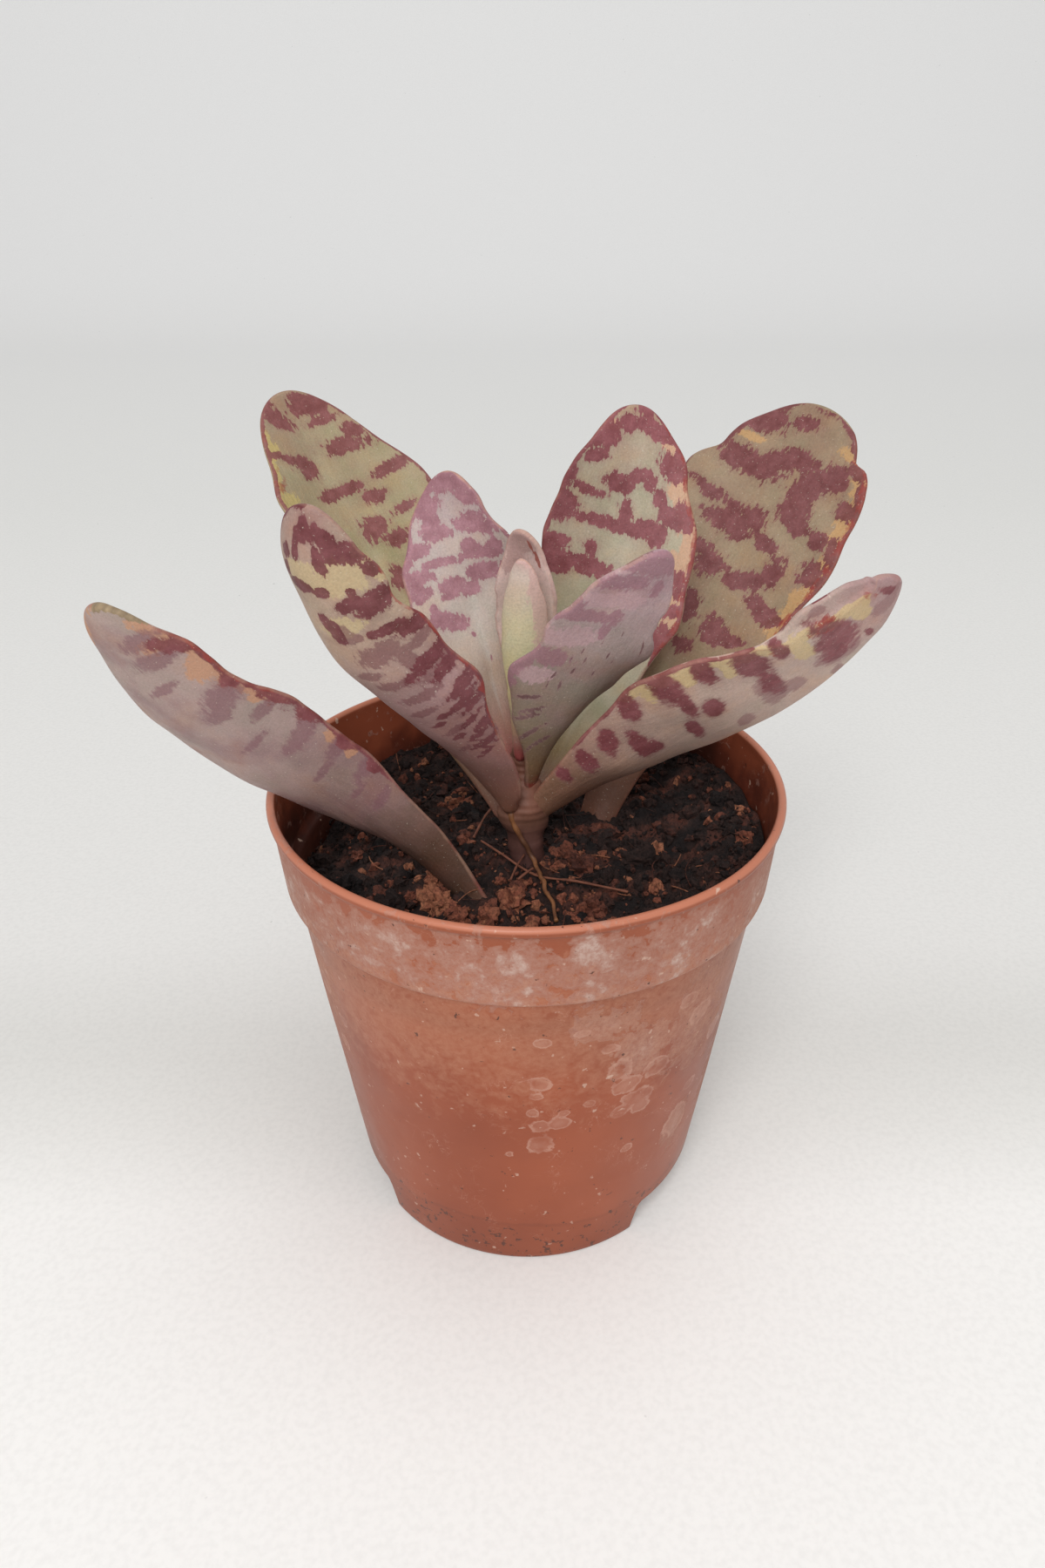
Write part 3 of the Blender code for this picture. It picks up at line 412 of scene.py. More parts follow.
leafLooks = {
    "olive": dict(
        ground=((0, (116, 78, 64)), (.1, (128, 94, 74)), (.25, (154, 132, 98)), (.6, (168, 154, 116)),
                (.85, (172, 156, 124)), (1, (160, 134, 110))),
        mark=(120, 64, 66), dull=(146, 104, 94), sun=(198, 178, 112), midrib=(190, 178, 148),
        rim=(126, 76, 72), rimPale=(150, 108, 92), film=(190, 176, 166), filmShare=0.12, reach=-0.32,
        rimShare=0.2),
    "green": dict(
        ground=((0, (140, 98, 80)), (.14, (150, 134, 100)), (.3, (192, 188, 164)), (.48, (180, 172, 144)),
                (.8, (182, 170, 146)), (1, (172, 148, 126))),
        mark=(126, 64, 72), dull=(154, 112, 110), sun=(206, 160, 130), midrib=(204, 200, 178),
        rim=(120, 58, 58), rimPale=(150, 96, 84), film=(190, 178, 168), ribWidth=0.3, filmShare=0.14,
        reach=-0.14, rimShare=0.45),
    "drab": dict(
        ground=((0, (108, 72, 58)), (.12, (124, 88, 72)), (.3, (150, 124, 98)), (.7, (162, 140, 114)),
                (1, (156, 132, 108))),
        mark=(110, 56, 60), dull=(132, 92, 82), sun=(196, 154, 104), midrib=(166, 150, 122),
        rim=(126, 68, 60), rimPale=(156, 104, 84), film=(172, 154, 142), filmShare=0.1, reach=-0.28,
        rimShare=0.25),
    "beige": dict(
        ground=((0, (134, 94, 72)), (.16, (150, 112, 94)), (.4, (190, 162, 148)), (.8, (196, 172, 160)),
                (1, (168, 132, 134))),
        mark=(116, 56, 62), dull=(146, 106, 106), sun=(202, 178, 128), midrib=(180, 158, 140),
        rim=(150, 84, 74), film=(190, 170, 164), filmShare=0.14, reach=-0.1, soft=0.2, teeth=1.3,
        rimShare=0.25),
    "rose": dict(
        ground=((0, (146, 100, 80)), (.25, (146, 108, 104)), (.5, (162, 128, 126)),
                (.75, (184, 160, 138)), (1, (164, 132, 122))),
        mark=(98, 42, 48), dull=(122, 80, 82), sun=(192, 172, 132), midrib=(168, 134, 122),
        rim=(150, 84, 78), clouding=0.35, veil=0.5, film=(176, 152, 150), filmShare=0.12, reach=0.12,
        soft=0.05, rimShare=0.3),
    "ash": dict(
        ground=((0, (78, 54, 40)), (.14, (92, 64, 50)), (.32, (138, 106, 98)), (.6, (166, 142, 136)),
                (1, (172, 150, 142))),
        mark=(112, 54, 58), dull=(128, 90, 96), sun=(188, 138, 104), midrib=(160, 136, 128),
        rim=(150, 84, 76), clouding=0.5, film=(182, 162, 160), filmShare=0.16, reach=0.2, soft=0.22,
        teeth=2.6, dullSoft=0.45, rimShare=0.4, slot="mauve_leaf"),
    "lilac": dict(
        ground=((0, (176, 88, 90)), (.1, (190, 136, 126)), (.3, (194, 176, 158)), (.5, (196, 182, 170)),
                (1, (190, 172, 170))),
        mark=(152, 104, 114), dull=(168, 132, 136), sun=(190, 178, 140), midrib=(206, 198, 188),
        rim=(150, 104, 116), film=(202, 188, 190), filmShare=0.14, reach=-0.16, rimShare=0.75,
        slot="mauve_leaf"),
    "glaucous": dict(
        ground=((0, (132, 88, 66)), (.12, (128, 102, 76)), (.3, (130, 114, 92)), (.5, (148, 132, 120)),
                (.7, (178, 154, 152)), (1, (190, 160, 166))),
        mark=(108, 78, 78), dull=(154, 108, 120), sun=(190, 156, 160), midrib=(160, 146, 128),
        rim=(164, 122, 130), film=(188, 172, 176), filmShare=0.16, clouding=0.3, reach=-0.06, soft=0.05,
        rimShare=0.35, slot="mauve_leaf"),
    "blushed": dict(
        ground=((0, (200, 180, 140)), (.5, (236, 208, 198)), (.85, (224, 196, 190)),
                (1, (184, 150, 144))),
        mark=(144, 76, 66), dull=(174, 140, 135), sun=(190, 170, 130), midrib=(192, 168, 150),
        rim=(168, 124, 118), film=(192, 176, 170), filmShare=0.12, reach=-0.1, rimShare=0.4,
        slot="mauve_leaf"),
    "young": dict(
        ground=((0, (178, 92, 90)), (.12, (190, 148, 134)), (.25, (194, 178, 146)),
                (.42, (206, 200, 152)), (.7, (212, 204, 168)), (.92, (212, 192, 180)),
                (1, (196, 160, 154))),
        mark=(140, 70, 72), dull=(206, 168, 162), sun=(196, 186, 140), midrib=(200, 190, 150),
        rim=(196, 156, 146), clouding=0.08, film=(204, 194, 176), filmShare=0.1, rimShare=0.5,
        slot="young_leaf"),
}

# middle of the stem and its radius, in millimetres
stemLine = ((0.5, -7.9, 56, 2.2), (0.4, -7.5, 62, 2.8), (0.1, -6.8, 69, 2.8), (-0.4, -5.6, 77, 2.8),
            (-0.6, -5.0, 81, 2.6), (-0.9, -4.3, 85, 2.0), (-0.9, -4.2, 88, 1.4), (-0.9, -4.2, 91, 0.6))
stations = np.array((0, 0.15, 0.30, 0.45, 0.60, 0.75, 0.90, 1.05))      # v of the half widths
marginThickness = 0.9 * mm
leafRows = 150
leafCells = 54               # across one face
tipRound = 0.7               # length of the rounded tip, in millimetres
noBlotch = -2.5              # value of a blotch attribute far from any blotch
ripple = 0.12 * mm           # of the margin
swell = 0.3 * mm             # of the blade
grooveDepth = 0.25 * mm      # along the middle of the upper face
patchStep = 31               # from one leaf's place in the noise to the next one's
hiddenCount = 44             # blotches on a face that the photo doesn't show


def bend(values, v):
    # the parabola through the values at the foot, the middle and the tip
    foot, middle, tip = values
    return foot + (4 * middle - 3 * foot - tip) * v + 2 * (foot - 2 * middle + tip) * v * v


def halfWidth(leaf, side, v):
    # Hermite curve through the stations, plus the scallops' cosine, closed by sqrt(1 - t^2.4) at the tip
    widths = leaf["left" if side else "right"]
    values = np.array([*widths, widths[-1] + 0.4 * (widths[-1] - widths[-2])])
    slopes = np.gradient(values, stations)
    slopes[0] *= 0.5
    cell = np.clip(np.searchsorted(stations, v, side="right") - 1, 0, 6)
    length = stations[cell + 1] - stations[cell]
    t = (v - stations[cell]) / length
    rise = 3 * t ** 2 - 2 * t ** 3
    width = (1 - rise) * values[cell] + rise * values[cell + 1]
    width += (t ** 3 - 2 * t ** 2 + t) * length * slopes[cell] + (t ** 3 - t ** 2) * length * slopes[cell + 1]
    place, spacing = leaf["scallops"][side]
    fade = np.interp(v, (0.28, 0.42, 0.86, 0.98), (0, 1, 1, 0))
    width += leaf["depth"] * fade * np.cos(math.tau * (v - place) / spacing)
    closing = np.clip((v - 0.70) / 0.30, 0, 1)
    return width * mm * np.sqrt(1 - closing ** 2.4)


def leafSheet(leaf, u, v, half):
    # place and normal on the sheet: an arc across, upwards from the middle line, rolled about it
    steps = np.linspace(0, 1, 121)
    azimuth, rise = (np.radians(bend(leaf[key], steps)) for key in ("azimuth", "rise"))
    heading = np.stack([np.cos(rise) * np.cos(azimuth), np.cos(rise) * np.sin(azimuth), np.sin(rise)], -1)
    length = leaf["length"] * mm
    walked = np.cumsum((heading[1:] + heading[:-1]) / 2, axis=0) * length / (len(steps) - 1)
    line = np.concatenate([np.zeros((1, 3)), walked])
    below = np.minimum(v, 0) * length
    v = np.clip(v, 0, 1)

    def along(values):
        return np.stack([np.interp(v, steps, values[:, axis]) for axis in range(3)], -1)

    middle = along(line) + below[..., None] * heading[0]
    if leaf["foot"] == 1:                  # below its foot the leaf bends into the stem
        x, y, z = leaf["base"]
        stem = np.array(stemLine)
        inward = [np.interp(z, stem[:, 2], stem[:, 0]) - x, np.interp(z, stem[:, 2], stem[:, 1]) - y, 0]
        middle += smoothStep(-below / mm, 0, 2.6)[..., None] * np.array(inward) * mm
    forward = along(heading)
    forward /= np.linalg.norm(forward, axis=-1, keepdims=True)
    turned = np.interp(v, steps, azimuth)
    side = np.stack([-np.sin(turned), np.cos(turned), 0 * turned], -1)
    up = np.cross(forward, side)
    roll = np.radians(bend(leaf["roll"], v))[..., None]
    side, up = side * np.cos(roll) + up * np.sin(roll), up * np.cos(roll) - side * np.sin(roll)
    widest = (max(leaf["right"]) + max(leaf["left"])) / 2 * mm
    curl = np.maximum(np.radians(bend(leaf["cup"], v)), 0.001) / widest
    angle = (curl * half * np.abs(u))[..., None]
    sign = np.sign(u)[..., None]
    place = middle + (side * np.sin(angle) * sign + up * (1 - np.cos(angle))) / curl[..., None]
    return place, up * np.cos(angle) - side * np.sin(angle) * sign


def blotchField(blotches, u, v):
    # highest of 1 - distance from a blotch's middle, in its own half lengths
    field = np.full(u.shape, noBlotch)
    for place, height, across, along, *lean in blotches:
        drop = (v - height - sum(lean) * (u - place)) / along
        field = np.maximum(field, 1 - np.sqrt(((u - place) / across) ** 2 + drop ** 2))
    return field


def edgingField(edgings, u, v, fromEdge):
    # a stripe along the margin: 1 - distance from the margin in stripe widths, fading at the stripe's ends
    field = np.full(u.shape, noBlotch)
    for side, low, high, width in edgings:
        fade = smoothStep(v, low - 0.03, low + 0.03) * smoothStep(high + 0.03 - v, 0, 0.06)
        here = np.where(np.sign(u) == side, fade, 0) if side else fade
        field = np.maximum(field, 1 - fromEdge / width - 2 * (1 - here))
    return field


def strayBlotches(count, lowest, seed):
    # blotches for the face that the photograph doesn't show, crowded towards the tip
    source = np.random.default_rng(seed)
    v = lowest + (0.98 - lowest) * source.uniform(0, 1, count) ** 0.75
    u = source.uniform(-0.95, 0.95, count)
    size = source.uniform(0.6, 1.3, count)
    return np.stack([u, v, 0.2 * size, 0.018 * size, source.normal(0, 0.03, count)], -1)


def leafMaterial(name, look):
    # ground, then pale midrib, wax, yellow spots, dull and dark blotches, red margin and dry scar
    shader = Shader(name, 0.5, 0.22, "flat")          # flat: the leaf laid flat, in millimetres
    noise, ramp, mix, times = shader.noise, shader.ramp, shader.mix, shader.times
    along, across, upper = (shader.attribute(label) for label in ("along", "across", "upper"))
    mottle = shader.math("SUBTRACT", noise(0.16, 4), 0.5)
    ground = ramp(shader.plus(along, times(mottle, 0.16)), *look["ground"])
    rib = ramp(shader.math("ABSOLUTE", across), (0, 0.8), (look["ribWidth"], 0), smooth=True)
    rib = times(rib, ramp(along, (0.12, 0), (0.3, 1), (0.9, 0.2)))
    ground = mix(times(rib, shader.scaled(upper, 0.7, 0.1)), ground, look["midrib"])
    wander = shader.math("SUBTRACT", noise(0.24, 4, 0.62), 0.5)
    teeth = noise(1.0, 3, 0.65, stretch=(1.5, 0.55, 1))        # longer along the leaf than across it
    teeth = times(shader.math("SUBTRACT", teeth, 0.5), look["teeth"])
    jag = shader.scaled(wander, 2.0, teeth)

    def spread(label, low, high, share, shift=0):
        # 0 where the jagged attribute is below low, share where it is above high
        value = shader.plus(shader.plus(shader.attribute(label), jag), 1 + shift)
        return times(ramp(value, (low + 1, 0), (high + 1, 1), smooth=True), share)

    bloomed = ramp(along, (0.12, 0.15), (0.32, 1))
    clouds = ramp(noise(0.11, 3, 0.6), (0.42, 0), (0.66, look["clouding"]), smooth=True)
    ground = mix(times(clouds, bloomed), ground, look["dull"])
    wax = times(ramp(noise(0.35, 5, 0.65), (0.3, 0.3), (0.7, 1)), look["filmShare"])
    ground = mix(times(wax, bloomed), ground, look["film"])
    patches = ramp(noise(0.16, 3), (0.3, (238, 244, 240)), (0.5, (250, 250, 250)), (0.7, (255, 246, 236)))
    ground = shader.tinted(ground, patches)
    colour = mix(spread("mark", -1.0, -0.2, 0.32, look["reach"]), ground, look["dull"])
    colour = mix(spread("sunny", -0.35, 0.35, 0.7), colour, look["sun"])
    blur = look["dullSoft"]
    colour = mix(spread("dull", -0.4 - blur, 0.15 + blur, 0.7), colour, look["dull"])
    lighter = tuple(min(value + 24, 255) for value in look["mark"])
    markTone = mix(ramp(noise(0.5, 3), (0.35, 0), (0.7, 1)), look["mark"], lighter)
    veiled = ramp(along, (0.3, look["veil"]), (0.6, 0))      # marks near the foot are paler
    markTone = mix(veiled, markTone, look["dull"])
    blur = look["soft"]
    colour = mix(spread("mark", -0.38 - blur, -0.26 + blur, 0.92, look["reach"]), colour, markTone)
    flush = times(spread("red", -0.15, 0.4, 0.7), ramp(noise(0.45, 2), (0.42, 0), (0.6, 1)))
    colour = mix(flush, colour, (152, 62, 54))
    rimWander = shader.scaled(noise(0.5, 2), 0.5, 0.1)
    rim = ramp(shader.math("DIVIDE", shader.attribute("fromEdge"), rimWander), (0.35, 1), (1.0, 0))
    rimTone = mix(ramp(noise(0.25, 2), (0.4, 0), (0.6, 1)), look["rim"], look["rimPale"])
    colour = mix(times(rim, look["rimShare"]), colour, rimTone)
    colour = shader.tinted(colour, ramp(noise(3.2, 3, 0.7), (0.25, 0.82), (0.5, 1), (0.78, 1.14)))
    dust = ramp(noise(2.6, 2, 0.6), (0.66, 0), (0.74, 0.5))
    colour = mix(dust, colour, (212, 200, 184))
    scarTone = mix(noise(1.2, 3), (96, 80, 64), (182, 160, 128))
    colour = mix(spread("scar", -0.2, 0.0, 1.0), colour, scarTone)
    veins = noise(0.5, 2, 0.5, stretch=(1.6, 0.35, 1))
    normal = shader.bump(veins, 0.25, 0.0006)
    normal = shader.bump(noise(2.2, 4, 0.6), 0.3, 0.0002, normal)
    for label, value in (("Weight", 0.08), ("Radius", (1.0, 0.5, 0.3)), ("Scale", 0.0012)):
        shader.main.inputs["Subsurface " + label].default_value = value
    return shader.finish(colour, normal, ramp(noise(0.8, 4), (0.3, 0.42), (0.7, 0.62)))


def fadeEnds(v):
    # 0 at the foot and the tip, 1 between
    return np.interp(v, (0, 0.3, 0.9, 1), (0, 1, 1, 0))


def leafOutline(leaf, number, u, v):
    # half width with a small ripple and the dents' steps and bulges, narrowed where a leaf joins the stem
    half = np.where(u < 0, halfWidth(leaf, 0, v), halfWidth(leaf, 1, v))
    half += waveNoise(np.stack([u + (u > 0) * 9, v * 9], -1), 1.1, 40 + number, 2) * ripple * fadeEnds(v)
    for side, height, depth, bulge, wide in leaf["dents"]:
        step = smoothStep(v, height - 0.004, height + 0.006) * np.interp(v, (height, 0.97, 1), (1, 0.1, 0))
        lobe = bulge * np.exp(-((v - height + wide) / wide) ** 2)
        half -= np.where(np.sign(u) == side, (step * depth - lobe) * mm, 0)
    if leaf["foot"] == 1:
        half = half * np.interp(v, (-0.05, 0, 0.06), (*leaf["heel"], 1))
    return np.maximum(half, 0)


def makeLeaf(number, name, leaf):
    # a closed skin round the sheet: rings over and under the leaf, crowded towards its tip
    look = {**commonLook, **leafLooks[leaf["look"]]}
    footShare = (leaf["foot"] if leaf["foot"] > 1 else 2.6) / leaf["length"]
    rows = (1 + footShare) * (1 - (1 - np.linspace(0, 1, leafRows + 1)[:-1]) ** 1.8) - footShare
    ring = (np.arange(2 * leafCells) + 0.5) * math.pi / leafCells
    v, angle = np.meshgrid(rows, ring, indexing="ij")
    u = np.sin(angle)
    facing = np.cos(angle)
    half = leafOutline(leaf, number, u, v)
    place, normal = leafSheet(leaf, u, v, half)
    foot, tip = leaf["thick"]
    midrib = (foot + (tip - foot) * np.clip(v, 0, 1)) * mm
    thickness = marginThickness + (midrib - marginThickness) * (1 - u * u)
    fromTip = np.clip((1 - v) * leaf["length"] / tipRound, 0, 1)
    thickness = thickness * np.sqrt(1 - (1 - fromTip) ** 2)
    roundness = np.maximum(2, 4.2 * half / mm)
    thickness = thickness / 2 * np.sqrt(1 - np.abs(u) ** roundness) * np.sign(facing)
    flat = np.stack([u * half / mm, v * leaf["length"], 0 * u + patchStep * number], -1)
    side, heights, crests, depth = leaf["fold"]
    crest = np.where(np.sign(u) == side, np.interp(v, heights, crests), 1)
    fromCrest = np.maximum(crest - np.abs(u), 3 * (np.abs(u) - crest)) * half / mm
    fromEdge = np.minimum(fromCrest, (1 - np.clip(v, 0, 1)) * leaf["length"])
    waves = waveNoise(flat[..., :2], 17, 70 + number, 2) * swell * fadeEnds(v)
    groove = grooveDepth * np.exp(-(u * half / (1.1 * mm)) ** 2) * np.where(facing > 0, 1, 0.2)
    groove = groove * np.interp(v, (0, 0.1, 0.8, 1), (0, 1, 0.4, 0))
    fold = depth * mm * smoothStep(np.abs(u), crest, crest + 0.14)
    base = np.array(leaf["base"]) * mm
    place = place + normal * (thickness + waves - groove + fold)[..., None] + base
    seen = (facing > 0) == (leaf["face"] == "upper")
    hidden = () if leaf["look"] in ("young", "blushed") else strayBlotches(hiddenCount, 0.3, 300 + number)

    def field(label):
        return blotchField(leaf[label], u, v)

    def edging(label):
        return edgingField(leaf[label], u, v, fromEdge)

    attributes = {
        "along": v, "across": u, "upper": smoothStep(facing, -0.05, 0.05), "flat": flat,
        "mark": np.where(seen, np.maximum(field("marks"), edging("edging")), blotchField(hidden, u, v)),
        "dull": np.where(seen, np.maximum(field("dull"), edging("dullEdging")), noBlotch),
        "sunny": np.where(seen, np.maximum(field("sunny"), edging("sunnyEdging")), noBlotch),
        "red": np.maximum(field("red"), edging("redEdging")), "scar": edging("scar"), "fromEdge": fromEdge,
    }
    count = v.size
    ends = leafSheet(leaf, np.zeros(2), np.array([rows[0], 1]), np.full(2, 0.001))[0] + base
    points = np.concatenate([place.reshape(-1, 3), ends])
    packed = {}
    for label, values in attributes.items():
        if label == "flat":
            packed[label] = np.concatenate([values.reshape(-1, 3), values[0, :1], values[-1, :1]])
        else:
            packed[label] = np.concatenate([values.ravel(), [values[0].mean(), values[-1].mean()]])
    size = 2 * leafCells
    faces = [gridFaces(leafRows, size), fanFaces(np.arange(size), count, False),
             fanFaces(np.arange(count - size, count), count + 1, True)]
    skin = name + "_skin"
    newPiece(skin, points, faces, name, look["slot"], leafMaterial(skin, look), packed)


for leafNumber, (leafName, leafShape) in enumerate(leaves.items()):
    makeLeaf(leafNumber, leafName, {**commonLeaf, **leafShape})
print("leaves done")


# Pot: a turned wall whose foot is cut up at two notches. Radii and heights in millimetres.

pot = dict(height=81.3, wall=0.8, lipMiddle=41.8, lipHalf=0.7, lipRound=0.75, collarInside=41.1,
           collarTopZ=79.6, collarFoot=40.9, collarFootZ=66.7, bodyTop=39.4, step=0.9, foot=31.6, floor=7.9,
           notch=6.8, notchMiddles=(-7, 173), notchSpan=92, liftTop=10.0,
           holes=6, holeRadius=2.6, holeCircle=20, holeSides=40, columns=440)
# rounded corners of the section, as (radius, height): under the lip, the step under the collar, and the foot
lipEdge = ((42.5, 80.3), (42.42, 80.0), (42.15, 79.8), (41.95, 79.62))
collarEdge = ((40.88, 67.05), (40.78, 66.8), (40.55, 66.62), (40.2, 66.5), (39.75, 66.38), (39.48, 66.15),
              (39.4, 65.8))
footEdge = ((31.55, 0.1), (31.4, 0), (31.0, 0), (30.85, 0.1))


def bodyRadius(z):
    # outside of the straight wall, which runs from the foot to under the collar
    return pot["foot"] + (pot["bodyTop"] - pot["foot"]) * z / (pot["collarFootZ"] - pot["step"])


def potProfile():
    # half of the section, from the floor's middle up the inside, round the lip and down the outside
    wall, floor, collarZ, lipZ = pot["wall"], pot["floor"], pot["collarFootZ"], pot["collarTopZ"]
    stepFoot = collarZ - pot["step"]
    floorEdge = bodyRadius(floor) - wall
    underside = floor - wall
    rows = [(floorEdge - 0.6, floor), (floorEdge - 0.15, floor + 0.15), (floorEdge, floor + 0.6)]
    rows += [(bodyRadius(z) - wall, z) for z in np.linspace(12, stepFoot, 12)]
    rows += [(bodyRadius(stepFoot) - wall + 0.5, collarZ), (pot["collarFoot"] - wall, collarZ + pot["step"])]
    rows += [(pot["collarInside"] - (lipZ - z) / 12, z) for z in np.linspace(68.4, lipZ, 20)]
    for turn in np.linspace(0, math.pi, 15):
        rows.append((pot["lipMiddle"] - pot["lipHalf"] * math.cos(turn),
                     pot["height"] - pot["lipRound"] + pot["lipRound"] * math.sin(turn)))
    rows += lipEdge
    rows += [(pot["collarFoot"] + (z - collarZ) / 13, z) for z in np.linspace(79.2, 67.3, 26)]
    rows += collarEdge
    rows += [(bodyRadius(z), z) for z in np.linspace(65.2, 0.35, 88)]
    rows += footEdge
    rows += [(bodyRadius(z) - wall, z) for z in np.linspace(0.4, underside - 0.15, 8)]
    rows += [(bodyRadius(underside) - wall - 0.3, underside), (floorEdge - 0.6, underside)]
    return np.array(rows)


def potNotch(degrees):
    # how far the foot is cut up: 0 outside the notch, then a quarter round to its full height
    away = np.min([turnBetween(degrees, middle) for middle in pot["notchMiddles"]], axis=0)
    t = np.clip((pot["notchSpan"] / 2 + 0.6 - away) / 3.2, 0, 1)
    return pot["notch"] * np.sqrt(t * (2 - t))


# limescale on the pot: middle (degrees, mm), half lengths and strength of each deposit
deposits = ((-162, 34, 16, 24, 0.3), (-20, 34, 16, 24, 0.32), (-130, 70, 34, 4.5, 0.55),
            (-98, 68, 30, 2.0, 0.56), (-93.4, 74.8, 4.6, 3.0, 1.1), (-79, 76, 4.0, 3.8, 1.15),
            (-107, 71, 6, 2.6, 0.62), (-60, 70.5, 22, 4.5, 0.54), (-52, 75.5, 8, 3, 0.58),
            (-28, 72, 16, 6, 0.6), (-155, 72, 16, 7, 0.6), (-69, 76.5, 4, 1.4, 0.55),
            (-118, 75, 8, 2.4, 0.56), (-138, 76, 9, 2, 0.56), (60, 71, 50, 5, 0.75),
            (150, 70, 40, 4.5, 0.75), (-72, 60, 10, 5, 0.42), (-62, 52, 9, 7, 0.5),
            (-45, 50, 14, 14, 0.42), (-153, 50, 12, 16, 0.45), (-43, 25, 7, 8, 0.5),
            (-20, 30, 14, 18, 0.4), (40, 44, 26, 12, 0.4), (120, 50, 30, 12, 0.4),
            (170, 30, 20, 14, 0.36))
# dried drops with a pale rim: middle (degrees, mm), half width and half height in millimetres
drops = ((-87.5, 48.2, 2.0, 1.9), (-88, 45.2, 1.4, 1.0), (-86.8, 57.5, 1.5, 1.2), (-78, 58.8, 1.6, 0.8),
         (-88.8, 41.3, 1.2, 1.2), (-87.2, 37.8, 2.0, 1.7), (-82.2, 38.3, 2.2, 1.7),
         (-86.8, 33.2, 2.4, 2.4), (-81.3, 40.7, 1.0, 0.8), (-68, 48.5, 2.7, 2.6), (-65, 44.2, 3.1, 1.9),
         (-57, 45.7, 2.6, 2.3), (-61.5, 40.3, 3.2, 2.2), (-60, 37.5, 2.0, 2.0), (-66, 38, 1.8, 1.6),
         (-44, 53, 3.0, 2.6), (-43, 26, 3.5, 4.5), (-40, 34, 2.0, 1.6), (-144.7, 46.9, 1.6, 1.4),
         (-152, 52, 2.4, 2.2), (-148, 40, 1.4, 1.8), (-71, 54, 1.6, 1.1), (-75, 42, 1.1, 1.0),
         (-95, 30.5, 0.9, 0.9), (-50, 58, 2.2, 1.4), (-33, 44, 2.6, 2.2), (-62, 27, 1.2, 1.2),
         (30, 50, 2.6, 2.2), (70, 44, 2.2, 2.6), (110, 40, 2.4, 2.0), (150, 46, 2.0, 2.4),
         (95, 55, 1.8, 1.4), (-170, 36, 2.2, 2.0), (5, 40, 2.4, 2.6))


def holedPlate(radius, columns):
    # triangles of a flat disc with the drain holes left out: its own rim comes first, then the holes' rims
    turn = np.arange(columns) * math.tau / columns
    rim = polar(radius, turn)
    sides = pot["holeSides"]
    around = np.arange(sides) * math.tau / sides
    angles = (np.arange(pot["holes"]) + 0.5) * math.tau / pot["holes"]
    middles = polar(pot["holeCircle"], angles)
    holes = middles[:, None] + polar(pot["holeRadius"], around)
    places = np.concatenate([rim, holes.reshape(-1, 2)])
    loops = [np.arange(columns)]
    loops += [columns + number * sides + np.arange(sides) for number in range(pot["holes"])]
    edges = np.concatenate([np.stack([loop, np.roll(loop, -1)], -1) for loop in loops])
    made = delaunay_2d_cdt([Vector(place) for place in places], edges.tolist(), [], 1, 1e-6)
    triangles = np.array(made[2])
    centres = places[triangles].mean(1)
    kept = np.linalg.norm(centres[:, None] - middles, axis=-1).min(1) > pot["holeRadius"]
    return triangles[kept], holes.reshape(-1, 2)


